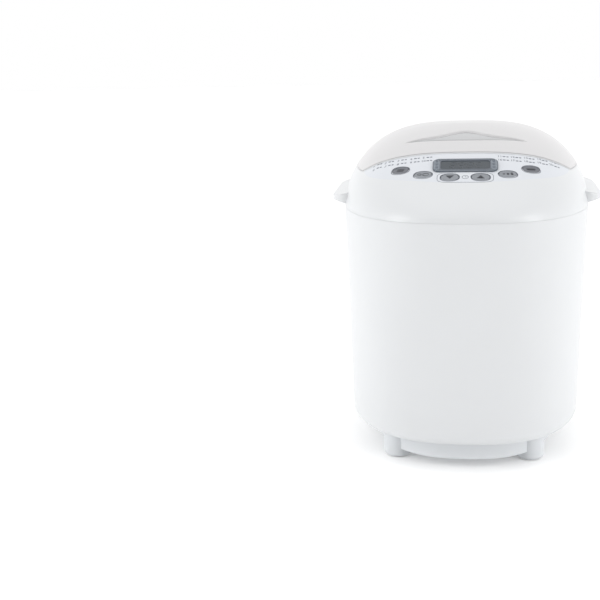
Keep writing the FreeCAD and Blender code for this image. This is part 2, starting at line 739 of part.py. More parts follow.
def lid_liner():
    plate = liner_outline(GASKET_WIDTH, liner_level(), liner_level() + LINER_PLATE)
    for x, y in lid_posts():
        plate = plate.cut(cylinder(SCREW_SHANK, 0, FAR, x, y))
    # window opening in the liner, under the glazed part of the cover
    return plate.cut(rounded_block(40, 8, 7, 0, FAR, 0, WINDOW_FRONT_Y + 10))


def lid_gasket():
    ring = liner_outline(GASKET_WIDTH, liner_level() - GASKET_HEIGHT, liner_level())
    return ring.cut(liner_outline(0.2, 0, FAR))


def lid_screws():
    return group([screw(x, y, liner_level(), down=False, length=7.0) for x, y in lid_posts()])


def hinge_pin(side):
    reach = KNUCKLE_LENGTH / 2 + EAR_GAP + EAR_THICKNESS
    return rod_x(PIN_RADIUS, side * HINGE_X - reach, side * HINGE_X + reach, HINGE_Y, HINGE_Z)


# ---------------------------------------------------------------- grips
def grip(side):
    """A grip: a thin wedge that tapers to a rounded edge, fitted to the casing's side."""
    root = SEAM_HALF_WIDTH - 12
    wires = []
    for share, reach in ((1.0, 0.0), (0.96, 0.45), (0.86, 0.78), (0.68, 0.95), (0.5, 1.0)):
        half = GRIP_LENGTH / 2 * share
        wires.append((half, reach))
    points = [V(root, -GRIP_LENGTH / 2, 0)]
    for half, reach in wires:
        points.append(V(SEAM_HALF_WIDTH - 4 + (GRIP_REACH - SEAM_HALF_WIDTH + 4) * reach, -half, 0))
    points += [V(point.x, -point.y, 0) for point in reversed(points[1:])]
    points.append(V(root, GRIP_LENGTH / 2, 0))
    curve = Part.BSplineCurve()
    curve.interpolate(points[1:-1])
    edges = [curve.toShape(),
             Part.LineSegment(points[-2], points[-1]).toShape(),
             Part.LineSegment(points[-1], points[0]).toShape(),
             Part.LineSegment(points[0], points[1]).toShape()]
    plan = Part.Face(Part.Wire(edges)).extrude(V(0, 0, 40))
    plan.translate(V(0, 0, GRIP_MIDDLE - 20))
    tip = GRIP_TIP_HEIGHT / 2
    foot_height = GRIP_ROOT_HEIGHT / 2
    section = Part.makePolygon([
        V(root, -FAR, GRIP_MIDDLE - foot_height - 2.5), V(SEAM_HALF_WIDTH, -FAR, GRIP_MIDDLE - foot_height),
        V(GRIP_REACH - 1.5, -FAR, GRIP_MIDDLE - tip), V(GRIP_REACH, -FAR, GRIP_MIDDLE - tip + 1.5),
        V(GRIP_REACH, -FAR, GRIP_MIDDLE + tip - 1.5), V(GRIP_REACH - 1.5, -FAR, GRIP_MIDDLE + tip),
        V(SEAM_HALF_WIDTH, -FAR, GRIP_MIDDLE + foot_height), V(root, -FAR, GRIP_MIDDLE + foot_height + 2.5),
        V(root, -FAR, GRIP_MIDDLE - foot_height - 2.5)])
    wedge = Part.Face(section).extrude(V(0, 2 * FAR, 0)).common(plan)
    if side < 0:
        wedge = turned_round(wedge)
    wedge = wedge.cut(dome(0.0))
    wedge = wedge.cut(lower_form(0.0, SEAM_HEIGHT))
    return max(wedge.Solids, key=lambda solid: solid.Volume)


# ---------------------------------------------------------------- oven and pan
def oven_liner():
    wall = liner_outline(0, OVEN_FLOOR, OVEN_TOP)
    wall = wall.cut(liner_outline(-OVEN_SHEET, OVEN_FLOOR + OVEN_SHEET, OVEN_TOP + 1))
    flange = liner_outline(OVEN_FLANGE, OVEN_TOP - OVEN_SHEET, OVEN_TOP)
    flange = flange.cut(liner_outline(-OVEN_SHEET, 0, FAR))
    liner = wall.fuse(flange)
    liner = liner.cut(cylinder(BEARING_RADIUS + 0.1, 0, OVEN_FLOOR + 20, 0, OVEN_Y))
    for x in (-ELEMENT_TAIL, ELEMENT_TAIL):
        liner = liner.cut(rod_y(CLIP_RADIUS, -FAR, OVEN_FRONT + 5, x, ELEMENT_HEIGHT))
    liner = liner.cut(rod_y(SENSOR_RADIUS + 0.5, -FAR, OVEN_FRONT + 5, SENSOR_X, SENSOR_HEIGHT))
    for x, y in bracket_places():
        liner = liner.cut(cylinder(SCREW_SHANK, 0, OVEN_FLOOR + 5, x, y))
    return liner


def bracket_places():
    return [(x, OVEN_Y + y) for x in (-BRACKET_X, BRACKET_X) for y in (-BRACKET_Y, BRACKET_Y)]


def liner_bracket(x, y):
    """A folded leg that stands on the chassis and carries the liner's floor."""
    x0 = x - BRACKET_HALF
    x1 = x + BRACKET_HALF
    leg = block(x0, x1, y - 1, y + 1, CHASSIS_TOP, OVEN_FLOOR)
    top = block(x0, x1, y - BRACKET_HALF, y + BRACKET_HALF, OVEN_FLOOR - 2, OVEN_FLOOR)
    low = block(x0, x1, y - BRACKET_HALF, y + BRACKET_HALF, CHASSIS_TOP, CHASSIS_TOP + 2)
    return leg.fuse(top).fuse(low).cut(cylinder(SCREW_SHANK, 0, FAR, x, y - 5))


def heating_element():
    half_x = (OVEN_HALF_WIDTH + PAN_HALF_WIDTH) / 2
    half_y = (OVEN_HALF_DEPTH + PAN_HALF_DEPTH) / 2
    z = ELEMENT_HEIGHT
    front = OVEN_Y - half_y
    start = OVEN_FRONT - ELEMENT_OUT
    points = [V(ELEMENT_TAIL, start, z), V(ELEMENT_TAIL, front, z), V(half_x, front, z),
              V(half_x, OVEN_Y + half_y, z), V(-half_x, OVEN_Y + half_y, z), V(-half_x, front, z),
              V(-ELEMENT_TAIL, front, z), V(-ELEMENT_TAIL, start, z)]
    return element_rod(points)


def element_rod(points):
    """Runs joined by arcs: tight where the ends leave through the liner, wide at the oven's corners."""
    bends = [ELEMENT_END_BEND] + [ELEMENT_CORNER] * 4 + [ELEMENT_END_BEND]
    edges = []
    start = points[0]
    for before, corner, after, bend in zip(points, points[1:], points[2:], bends):
        to_before = (before - corner).normalize()
        to_after = (after - corner).normalize()
        middle = corner + (to_before + to_after) * bend
        middle = middle + (corner - middle).normalize() * bend
        edges.append(Part.LineSegment(start, corner + to_before * bend).toShape())
        edges.append(Part.Arc(corner + to_before * bend, middle, corner + to_after * bend).toShape())
        start = corner + to_after * bend
    edges.append(Part.LineSegment(start, points[-1]).toShape())
    profile = Part.Wire(Part.makeCircle(ELEMENT_RADIUS, points[0], V(0, 1, 0)))
    return Part.Wire(edges).makePipeShell([profile], True, False)


def element_clips():
    """Four sheet clips that hold the element off the liner's floor."""
    clips = []
    half_x = (OVEN_HALF_WIDTH + PAN_HALF_WIDTH) / 2
    for x in (-half_x, half_x):
        for y in (OVEN_Y - CLIP_SPACING, OVEN_Y + CLIP_SPACING):
            post = block(x - 1, x + 1, y - 5, y + 5, OVEN_FLOOR + OVEN_SHEET, ELEMENT_HEIGHT)
            eye = rod_y(CLIP_RADIUS, y - 5, y + 5, x, ELEMENT_HEIGHT)
            clip = post.fuse(eye).cut(rod_y(ELEMENT_RADIUS, y - 6, y + 6, x, ELEMENT_HEIGHT))
            clips.append(clip)
    return group(clips)


def element_terminals():
    """Ceramic bushes round the element's two ends, each with its blade."""
    pieces = []
    face = OVEN_FRONT
    for x in (-ELEMENT_TAIL, ELEMENT_TAIL):
        bush = rod_y(ELEMENT_RADIUS + 3.0, face - 8, face, x, ELEMENT_HEIGHT)
        bush = bush.cut(rod_y(ELEMENT_RADIUS, face - 9, face + 1, x, ELEMENT_HEIGHT))
        pieces.append(bush)
    return group(pieces)


def temperature_sensor():
    probe = rod_y(SENSOR_RADIUS, OVEN_FRONT - 12, OVEN_FRONT + 7, SENSOR_X, SENSOR_HEIGHT)
    collar = rod_y(6.0, OVEN_FRONT - 3, OVEN_FRONT, SENSOR_X, SENSOR_HEIGHT)
    return probe.fuse(collar)


def pan_outline(grow, z0, z1):
    """Prism of the pan's plan outline, grown by some amount."""
    half_width = PAN_HALF_WIDTH + grow
    return rounded_block(half_width, PAN_HALF_DEPTH + grow, PAN_CORNER + grow, z0, z1, 0, OVEN_Y)


def bread_pan():
    body = pan_outline(0, PAN_FLOOR, PAN_RIM)
    low = [edge for edge in body.Edges if edge.BoundBox.ZMax < PAN_FLOOR + 0.01]
    body = body.makeFillet(PAN_EDGE, low)
    inner = pan_outline(-PAN_SHEET, PAN_FLOOR + PAN_SHEET, PAN_RIM + 1)
    low = [edge for edge in inner.Edges if edge.BoundBox.ZMax < PAN_FLOOR + PAN_SHEET + 0.01]
    body = body.cut(inner.makeFillet(PAN_EDGE - PAN_SHEET, low))
    rim = pan_outline(PAN_RIM_WIDTH, PAN_RIM - 2.5, PAN_RIM)
    rim = rim.cut(pan_outline(-PAN_SHEET, 0, FAR))
    pan = body.fuse(rim)
    pan = pan.fuse(pan_collar())
    return pan.cut(cylinder(PAN_BUSH_RADIUS, 0, PAN_FLOOR + 20, 0, OVEN_Y))


def pan_collar():
    """The foot ring under the pan, which drops over the ring in the oven's floor."""
    low = OVEN_FLOOR + OVEN_SHEET + GAP
    collar = cylinder(PAN_COLLAR_RADIUS, low, PAN_FLOOR + 0.5, 0, OVEN_Y)
    return collar.cut(cylinder(PAN_COLLAR_RADIUS - PAN_COLLAR_SHEET, 0, PAN_FLOOR + 0.1, 0, OVEN_Y))


def pan_catch(side):
    """A spring clip on the oven's floor that grips the outside of the pan's collar."""
    low = OVEN_FLOOR + OVEN_SHEET
    x = side * (PAN_COLLAR_RADIUS + GAP + 0.5)
    thick = 1.2
    near = x if side > 0 else x - thick
    leaf = block(near, near + thick, OVEN_Y - 7, OVEN_Y + 7, low, low + 14)
    foot_x = x if side > 0 else x - 12
    return leaf.fuse(block(foot_x, foot_x + 12, OVEN_Y - 7, OVEN_Y + 7, low, low + thick))


def pan_pivots():
    """Two riveted lugs on the pan's sides, with the stubs that the handle turns on."""
    lugs = []
    x = PAN_HALF_WIDTH
    near = x + PAN_RIM_WIDTH
    far = near + LUG_SHEET
    plate = block(x, x + LUG_SHEET, OVEN_Y - 8, OVEN_Y + 8, PAN_RIM - 24, PAN_RIM - 2.5)
    neck = block(near, far, OVEN_Y - 5, OVEN_Y + 5, PAN_RIM - 8, PIVOT_HEIGHT)
    bridge = block(x, far, OVEN_Y - 5, OVEN_Y + 5, PAN_RIM - 8, PAN_RIM - 6)
    round_top = rod_x(5.0, near, far, OVEN_Y, PIVOT_HEIGHT)
    stub = rod_x(PIVOT_RADIUS, near, far + GAP + 2 * HANDLE_WIRE + 1.0, OVEN_Y, PIVOT_HEIGHT)
    lug = plate.fuse(neck).fuse(bridge).fuse(round_top).fuse(stub)
    lugs.append(lug)
    lugs.append(turned_round(lug, OVEN_Y))
    return group(lugs)


def handle_x():
    return PAN_HALF_WIDTH + PAN_RIM_WIDTH + LUG_SHEET + GAP + HANDLE_WIRE


def pan_handle():
    x = handle_x()
    z = PIVOT_HEIGHT
    front = OVEN_Y - HANDLE_REACH
    points = [V(x, OVEN_Y, z), V(x, front, z), V(-x, front, z), V(-x, OVEN_Y, z)]
    bail = bent_rod(points, HANDLE_WIRE, HANDLE_BEND)
    for side in (-1, 1):
        eye = rod_x(HANDLE_WIRE + 2.0, side * x - HANDLE_WIRE, side * x + HANDLE_WIRE, OVEN_Y, z)
        bail = bail.fuse(eye)
    reach = PIVOT_RADIUS + PIVOT_CLEARANCE
    return bail.cut(rod_x(reach, -FAR, FAR, OVEN_Y, z))


def pan_bush():
    bush = cylinder(PAN_BUSH_RADIUS, PAN_FLOOR - 10, PAN_FLOOR + 5, 0, OVEN_Y)
    return bush.cut(cylinder(SPINDLE_RADIUS + RUNNING_FIT, 0, FAR, 0, OVEN_Y))


def pan_shaft():
    shaft = cylinder(SPINDLE_RADIUS, COUPLING_TOP + LUG_HEIGHT - 4.2, PAN_FLOOR + 24, 0, OVEN_Y)
    wing = block(-COUPLING_RADIUS + 1, COUPLING_RADIUS - 1, OVEN_Y - 2.5, OVEN_Y + 2.5,
                 COUPLING_TOP - LUG_HEIGHT + GAP + 0.5, COUPLING_TOP)
    hub = cylinder(SPINDLE_RADIUS + 2, COUPLING_TOP - LUG_HEIGHT + GAP + 0.5, COUPLING_TOP + 1.5, 0, OVEN_Y)
    # a flat on the shaft's top, which turns the paddle
    flat = block(SPINDLE_RADIUS - 1, SPINDLE_RADIUS + 5, -FAR, FAR, PAN_FLOOR + 6, FAR)
    return shaft.fuse(wing).fuse(hub).cut(flat)


def kneading_paddle():
    low = PAN_FLOOR + 5 + GAP
    hub = cylinder(PADDLE_HUB, low, low + 17, 0, OVEN_Y)
    hub = hub.cut(cylinder(SPINDLE_RADIUS, 0, low + 20, 0, OVEN_Y))
    flat = block(SPINDLE_RADIUS - 1, SPINDLE_RADIUS + 0.5, OVEN_Y - 4, OVEN_Y + 4, PAN_FLOOR + 6, low + 16)
    hub = hub.fuse(flat)
    curve = Part.BSplineCurve()
    top_points = [V(PADDLE_HUB - 2, 0, low + 17), V(18, 0, low + PADDLE_HEIGHT),
                  V(32, 0, low + PADDLE_HEIGHT - 3), V(PADDLE_BLADE, 0, low + 8)]
    curve.interpolate(top_points)
    start = V(PADDLE_HUB - 2, 0, low)
    end = V(PADDLE_BLADE, 0, low)
    edges = [curve.toShape(), Part.LineSegment(top_points[-1], end).toShape(),
             Part.LineSegment(end, start).toShape(), Part.LineSegment(start, top_points[0]).toShape()]
    blade = Part.Face(Part.Wire(edges)).extrude(V(0, 3.2, 0))
    blade.translate(V(0, OVEN_Y - 1.6, 0))
    return hub.fuse(blade)


# ---------------------------------------------------------------- drive
def drive_spindle():
    shaft = cylinder(SPINDLE_RADIUS, SPINDLE_BOTTOM, COUPLING_TOP - LUG_HEIGHT, 0, OVEN_Y)
    groove = cylinder(FAR, SPINDLE_BOTTOM + 2, SPINDLE_BOTTOM + 3, 0, OVEN_Y)
    return shaft.cut(groove.cut(cylinder(SPINDLE_RADIUS - 0.8, 0, FAR, 0, OVEN_Y)))


def drive_coupling():
    """The driving dog on the spindle's top: a disc with two lugs that push the pan's wing."""
    low = OVEN_FLOOR + 3.5
    disc = cylinder(COUPLING_RADIUS, low, COUPLING_TOP - LUG_HEIGHT, 0, OVEN_Y)
    disc = disc.cut(cylinder(SPINDLE_RADIUS, 0, FAR, 0, OVEN_Y))
    ring = cylinder(COUPLING_RADIUS, COUPLING_TOP - LUG_HEIGHT, COUPLING_TOP, 0, OVEN_Y)
    ring = ring.cut(cylinder(COUPLING_RADIUS - 5, 0, FAR, 0, OVEN_Y))
    behind = block(-FAR, FAR, OVEN_Y + LUG_GAP, FAR, 0, FAR)
    lugs = ring.common(behind.fuse(block(-FAR, FAR, -FAR, OVEN_Y - LUG_GAP, 0, FAR)))
    lugs = lugs.common(block(-LUG_WIDTH * 2, LUG_WIDTH * 2, -FAR, FAR, 0, FAR))
    return disc.fuse(lugs)


def spindle_bearing():
    """Bearing housing: a flanged sleeve through the oven's floor, its flange under the floor."""
    sleeve = cylinder(BEARING_RADIUS, CHASSIS_TOP - 6, OVEN_FLOOR + 2.5, 0, OVEN_Y)
    flange = cylinder(BEARING_FLANGE, OVEN_FLOOR - 3, OVEN_FLOOR, 0, OVEN_Y)
    return sleeve.fuse(flange).cut(cylinder(SPINDLE_RADIUS + RUNNING_FIT, 0, FAR, 0, OVEN_Y))


def pulley(radius, bore, x, y, webbed):
    low = PULLEY_MIDDLE - PULLEY_WIDTH / 2
    high = PULLEY_MIDDLE + PULLEY_WIDTH / 2
    wheel = cylinder(radius + GROOVE, low, high, x, y)
    half = BELT_WIDTH / 2 + BELT_GAP
    groove = cylinder(radius + GROOVE + 1, PULLEY_MIDDLE - half, PULLEY_MIDDLE + half, x, y)
    wheel = wheel.cut(groove.cut(cylinder(radius, 0, FAR, x, y)))
    if webbed:
        for level in (low - 1, PULLEY_MIDDLE + 1.5):
            hollow = cylinder(radius - 6, level, level + PULLEY_WIDTH / 2 - 0.5, x, y)
            wheel = wheel.cut(hollow.cut(cylinder(12, 0, FAR, x, y)))
        for index in range(6):
            angle = math.radians(60 * index + 30)
            reach = (radius + 6) / 2
            hole = cylinder(8, 0, FAR, x + reach * math.cos(angle), y + reach * math.sin(angle))
            wheel = wheel.cut(hole)
    return wheel.cut(cylinder(bore, 0, FAR, x, y))


def loop_prism(first_radius, second_radius, half_height):
    """Prism of a belt's path round both pulleys, at a given distance from their centres."""
    distance = math.hypot(MOTOR_X, MOTOR_Y - OVEN_Y)
    heading = math.atan2(MOTOR_Y - OVEN_Y, MOTOR_X)
    lean = math.acos((first_radius - second_radius) / distance)
    points = []
    for side in (-1, 1):
        angle = heading + side * lean
        outward = V(math.cos(angle), math.sin(angle), 0)
        near = V(0, OVEN_Y, 0) + outward * first_radius
        points.append((near, V(MOTOR_X, MOTOR_Y, 0) + outward * second_radius))
    back = V(0, OVEN_Y, 0) - V(math.cos(heading), math.sin(heading), 0) * first_radius
    nose = V(MOTOR_X, MOTOR_Y, 0) + V(math.cos(heading), math.sin(heading), 0) * second_radius
    edges = [Part.Arc(points[1][0], back, points[0][0]).toShape(),
             Part.LineSegment(points[0][0], points[0][1]).toShape(),
             Part.Arc(points[0][1], nose, points[1][1]).toShape(),
             Part.LineSegment(points[1][1], points[1][0]).toShape()]
    prism = Part.Face(Part.Wire(edges)).extrude(V(0, 0, 2 * half_height))
    prism.translate(V(0, 0, PULLEY_MIDDLE - half_height))
    return prism


def drive_belt():
    inside = BELT_GAP
    outside = BELT_GAP + BELT_THICKNESS
    outer = loop_prism(PULLEY_RADIUS + outside, MOTOR_PULLEY_RADIUS + outside, BELT_WIDTH / 2)
    inner = loop_prism(PULLEY_RADIUS + inside, MOTOR_PULLEY_RADIUS + inside, BELT_WIDTH)
    return outer.cut(inner)


def chassis_plate():
    """Pressed plate that ties the oven, the drive and the motor together."""
    low = CHASSIS_TOP - CHASSIS_PLATE
    rear = rounded_block(CHASSIS_HALF_WIDTH, 80, 12, low, CHASSIS_TOP, 0, OVEN_Y)
    front = rounded_block(CHASSIS_HALF_WIDTH, 38, 12, low, CHASSIS_TOP, 0, MOTOR_Y + 16)
    plate = rear.fuse(front)
    plate = plate.cut(cylinder(BEARING_RADIUS, 0, FAR, 0, OVEN_Y))
    plate = plate.cut(cylinder(12, 0, FAR, MOTOR_X, MOTOR_Y))
    for x, y in bracket_places():
        plate = plate.cut(cylinder(SCREW_SHANK, 0, FAR, x, y - 5))
    for x, y in pillar_places():
        plate = plate.fuse(cylinder(6, SKIRT_BOTTOM + TRAY_FLOOR, CHASSIS_TOP - CHASSIS_PLATE, x, y))
    return plate


def pillar_places():
    return [(-40.0, -92.0), (57.0, -62.0), (-40.0, OVEN_Y + 59), (40.0, OVEN_Y + 59)]


def motor_stator():
    top = MOTOR_BOTTOM + MOTOR_HEIGHT
    core = rounded_block(MOTOR_HALF, MOTOR_HALF, 8, MOTOR_BOTTOM + 10, top - 10, MOTOR_X, MOTOR_Y)
    low = MOTOR_BOTTOM + MOTOR_PLATE + 1
    coils = cylinder(MOTOR_HALF - 4, low, top - MOTOR_PLATE - 1, MOTOR_X, MOTOR_Y)
    return core.fuse(coils).cut(cylinder(ROTOR_RADIUS + ROTOR_GAP, 0, FAR, MOTOR_X, MOTOR_Y))


def motor_frame():
    """Lower and upper end plates with the four posts between them."""
    pieces = []
    top = MOTOR_BOTTOM + MOTOR_HEIGHT
    for low in (MOTOR_BOTTOM, top - MOTOR_PLATE):
        plate = rounded_block(MOTOR_HALF + 7, MOTOR_HALF - 4, 8, low, low + MOTOR_PLATE, MOTOR_X, MOTOR_Y)
        pieces.append(plate)
    frame = pieces[0].fuse(pieces[1])
    for x in (-1, 1):
        for y in (-1, 1):
            post_x = MOTOR_X + x * (MOTOR_HALF + 3.2)
            post_y = MOTOR_Y + y * (MOTOR_HALF - 10)
            frame = frame.fuse(cylinder(3, CHASSIS_TOP, top, post_x, post_y))
    return frame.cut(cylinder(MOTOR_SHAFT_RADIUS + RUNNING_FIT, 0, FAR, MOTOR_X, MOTOR_Y))


def motor_rotor():
    top = MOTOR_BOTTOM + MOTOR_HEIGHT
    low = PULLEY_MIDDLE - PULLEY_WIDTH / 2 - 2
    shaft = cylinder(MOTOR_SHAFT_RADIUS, low, top + 14, MOTOR_X, MOTOR_Y)
    core = cylinder(ROTOR_RADIUS, MOTOR_BOTTOM + 8, top - 8, MOTOR_X, MOTOR_Y)
    return shaft.fuse(core)


def motor_fan():
    low = MOTOR_BOTTOM + MOTOR_HEIGHT + 2.5
    hub = cylinder(7, low, low + 9, MOTOR_X, MOTOR_Y)
    disc = cylinder(FAN_RADIUS, low, low + 1.2, MOTOR_X, MOTOR_Y)
    fan = hub.fuse(disc)
    for index in range(FAN_BLADES):
        blade = block(5, FAN_RADIUS - 0.5, -0.6, 0.6, low, low + 9)
        blade.rotate(V(0, 0, 0), V(0, 0, 1), 360.0 * index / FAN_BLADES)
        blade.translate(V(MOTOR_X, MOTOR_Y, 0))
        fan = fan.fuse(blade)
    return fan.cut(cylinder(MOTOR_SHAFT_RADIUS, 0, FAR, MOTOR_X, MOTOR_Y))


# ---------------------------------------------------------------- electrics
def power_board():
    thickness, depth, height = POWER_BOARD
    return block(POWER_BOARD_X - thickness / 2, POWER_BOARD_X + thickness / 2,
                 POWER_BOARD_FRONT, POWER_BOARD_FRONT + depth,
                 POWER_BOARD_BOTTOM, POWER_BOARD_BOTTOM + height)


def transformer():
    out, depth, height = TRANSFORMER
    x = POWER_BOARD_X + POWER_BOARD[0] / 2
    rear = TRANSFORMER_FRONT + depth
    top = TRANSFORMER_BOTTOM + height
    core = block(x, x + out, TRANSFORMER_FRONT, rear, TRANSFORMER_BOTTOM, top)
    winding = block(x + 3.2, x + out - 4, TRANSFORMER_FRONT - WINDING_PROUD, rear + WINDING_PROUD,
                    TRANSFORMER_BOTTOM + 4, top - 4)
    return core.fuse(winding)


def motor_capacitor():
    x = POWER_BOARD_X + POWER_BOARD[0] / 2 + CAPACITOR_RADIUS
    return rod_y(CAPACITOR_RADIUS, -112, -76, x, CAPACITOR_HEIGHT)


def board_holder():
    """Angle that stands on the chassis and holds the power board upright."""
    upright = block(POWER_BOARD_X - 3.2, POWER_BOARD_X - 0.8, -114, -60, CHASSIS_TOP, 120)
    sole = block(POWER_BOARD_X - 3.2, POWER_BOARD_X + 14, -114, -60, CHASSIS_TOP, CHASSIS_TOP + 2.4)
    return upright.fuse(sole)


def thermal_fuse():
    y = OVEN_FRONT - FUSE_RADIUS
    body = rod_x(FUSE_RADIUS, -12, 12, y, FUSE_HEIGHT)
    leads = rod_x(0.6, -22, 22, y, FUSE_HEIGHT)
    return body.fuse(leads)


def casing_rear(z):
    """Outer rear face of the lower shell at a height, on the gland's line."""
    share = (z - SHELL_BOTTOM) / (SEAM_HEIGHT - SHELL_BOTTOM)
    half_width = BOTTOM_HALF_WIDTH + (SEAM_HALF_WIDTH - BOTTOM_HALF_WIDTH) * share
    half_depth = BOTTOM_HALF_DEPTH + (SEAM_HALF_DEPTH - BOTTOM_HALF_DEPTH) * share
    return half_depth * (1 - (GLAND_X / half_width) ** PLAN_POWER) ** (1 / PLAN_POWER)


def cord_gland():
    """The flanged sleeve through the rear wall that the supply lead would pass through."""
    rear = casing_rear(GLAND_Z)
    sleeve = rod_y(GLAND_RADIUS - GLAND_FLANGE, rear - GLAND_INSIDE, rear + 3.5, GLAND_X, GLAND_Z)
    flange = rod_y(GLAND_RADIUS, rear - 8, rear + 2.5, GLAND_X, GLAND_Z)
    flange = flange.cut(lower_form(0.0, SEAM_HEIGHT))
    return sleeve.fuse(flange).cut(rod_y(GLAND_BORE, 0, FAR, GLAND_X, GLAND_Z))


# ---------------------------------------------------------------- fasteners
def base_screws():
    return group([foot_screw(x, y) for x, y in foot_places()])


def chassis_screws():
    return group([screw(x, y - 5, CHASSIS_TOP + 2, length=6.0) for x, y in bracket_places()])


# ---------------------------------------------------------------- assembly
def make_casing():
    keep("body_shell", body_shell())
    keep("base_tray", base_tray())
    keep("top_housing", top_housing())
    for place, name in zip(foot_places(), ("front_left", "front_right", "rear_left", "rear_right")):
        keep("foot_" + name, foot(*place))
    keep("foot_pads", group([cylinder(PAD_RADIUS, 0, PAD_THICKNESS, x, y) for x, y in foot_places()]))
    keep("right_grip", grip(1))
    keep("left_grip", grip(-1))
    keep("cord_gland", cord_gland())


def make_controls():
    keep("control_panel", control_panel())
    keep("display_bezel", display_bezel())
    keep("display_lens", display_lens())
    keep("lcd_module", lcd_module())
    for name, across, y, turn in BUTTONS:
        keep(name, button(across, y, turn))
    keep("control_board", control_board())
    keep("tact_switches", tact_switches())


def make_lid():
    keep("lid_cover", lid_cover())
    keep("lid_window", lid_window())
    keep("lid_liner", lid_liner())
    keep("lid_gasket", lid_gasket())
    keep("lid_screws", lid_screws())
    keep("hinge_pins", group([hinge_pin(-1), hinge_pin(1)]))


def make_oven():
    keep("oven_liner", oven_liner())
    keep("liner_brackets", group([liner_bracket(x, y) for x, y in bracket_places()]))
    keep("heating_element", heating_element())
    keep("element_clips", element_clips())
    keep("element_terminals", element_terminals())
    keep("temperature_sensor", temperature_sensor())
    keep("bread_pan", bread_pan())
    keep("pan_pivots", pan_pivots())
    keep("pan_handle", pan_handle())
    keep("pan_bush", pan_bush())
    keep("pan_shaft", pan_shaft())
    keep("kneading_paddle", kneading_paddle())
    keep("pan_catches", group([pan_catch(-1), pan_catch(1)]))


def make_drive():
    keep("drive_spindle", drive_spindle())
    keep("drive_coupling", drive_coupling())
    keep("spindle_bearing", spindle_bearing())
    keep("large_pulley", pulley(PULLEY_RADIUS, SPINDLE_RADIUS, 0, OVEN_Y, True))
    keep("motor_pulley", pulley(MOTOR_PULLEY_RADIUS, MOTOR_SHAFT_RADIUS, MOTOR_X, MOTOR_Y, False))
    keep("drive_belt", drive_belt())
    keep("chassis_plate", chassis_plate())
    keep("motor_stator", motor_stator())
    keep("motor_frame", motor_frame())
    keep("motor_rotor", motor_rotor())
    keep("motor_fan", motor_fan())


def make_electrics():
    keep("power_board", power_board())
    keep("board_holder", board_holder())
    keep("transformer", transformer())
    keep("motor_capacitor", motor_capacitor())
    keep("thermal_fuse", thermal_fuse())
    keep("base_screws", base_screws())
    keep("chassis_screws", chassis_screws())


make_casing()
make_controls()
make_lid()
make_oven()
make_drive()
make_electrics()

os.makedirs("parts", exist_ok=True)
for node_name, node_shape in NODES.items():
    node_shape.exportStep("parts/" + node_name + ".step")
    print(node_name, len(node_shape.Solids), round(node_shape.Volume, 1), node_shape.isValid())
print("deck", round(DECK_HEIGHT, 2), "panel", round(PANEL_MIDDLE_Z, 2))
print("hinge", round(HINGE_Y, 2), round(HINGE_Z, 2))
print("nodes", len(NODES))
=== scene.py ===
import json
import math

import bmesh
import bpy
import numpy as np
from mathutils import Matrix, Vector


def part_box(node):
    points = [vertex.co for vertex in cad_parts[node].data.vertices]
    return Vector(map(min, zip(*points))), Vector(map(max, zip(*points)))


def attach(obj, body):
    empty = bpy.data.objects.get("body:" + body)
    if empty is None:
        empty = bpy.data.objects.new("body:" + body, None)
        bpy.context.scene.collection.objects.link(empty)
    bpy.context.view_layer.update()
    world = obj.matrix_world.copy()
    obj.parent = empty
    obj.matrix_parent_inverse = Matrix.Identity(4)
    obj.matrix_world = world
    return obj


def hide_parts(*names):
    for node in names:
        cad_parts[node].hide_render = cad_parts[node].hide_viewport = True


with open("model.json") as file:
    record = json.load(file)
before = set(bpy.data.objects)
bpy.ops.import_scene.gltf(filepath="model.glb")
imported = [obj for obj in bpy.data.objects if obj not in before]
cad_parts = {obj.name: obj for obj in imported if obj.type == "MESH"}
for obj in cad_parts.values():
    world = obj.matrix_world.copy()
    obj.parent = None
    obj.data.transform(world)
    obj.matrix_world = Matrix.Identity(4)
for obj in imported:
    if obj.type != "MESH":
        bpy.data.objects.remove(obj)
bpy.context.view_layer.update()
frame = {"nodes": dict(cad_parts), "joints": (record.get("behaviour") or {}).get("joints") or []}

# %% [markdown]
# # A domed bread machine
# The frame already holds the machine's true sizes and everything that moves. Here it gets its looks:
# a smooth lid skin worked out from the same few curves as the design, soft keys, a display, printed
# marks, and a finish for every part, also for those that only show once the lid is open.
#
# ## The camera
# A long lens stands well back and a little above the machine, so that the machine's sides stay nearly
# upright. The machine is to stand right of the middle of the frame. The camera is turned a few degrees
# to the left for that, and not shifted, so that it still works from every other side.

# %% Camera
CAMERA_BACK = 1.165
CAMERA_HEIGHT = 0.430
CAMERA_PITCH = math.radians(14.11)
CAMERA_TURN = math.radians(8.51)
CAMERA_ROLL = math.radians(-1.7)
CAMERA_LENS = 68.0

camera_data = bpy.data.cameras.new("camera")
camera_data.lens = CAMERA_LENS
camera_data.sensor_width = 36.0
camera = bpy.data.objects.new("camera", camera_data)
bpy.context.scene.collection.objects.link(camera)
aim = Matrix.Rotation(CAMERA_TURN, 4, "Z") @ Matrix.Rotation(math.pi / 2 - CAMERA_PITCH, 4, "X")
place = Matrix.Translation((0, -CAMERA_BACK, CAMERA_HEIGHT))
camera.matrix_world = place @ aim @ Matrix.Rotation(CAMERA_ROLL, 4, "Z")
bpy.context.scene.camera = camera
bpy.context.scene.view_settings.view_transform = "Standard"
print("camera", round(CAMERA_BACK, 3), "m in front, lens", CAMERA_LENS, "mm")

# %% [markdown]
# ## The studio
# White goods look best inside a white tent with a darker gap where the camera looks in. The gap is what
# draws the form: the front of the casing, which faces it, comes out a shade greyer than the flanks.
# A world whose brightness falls off toward the camera side does the same as the tent, with no lamps
# to hide.

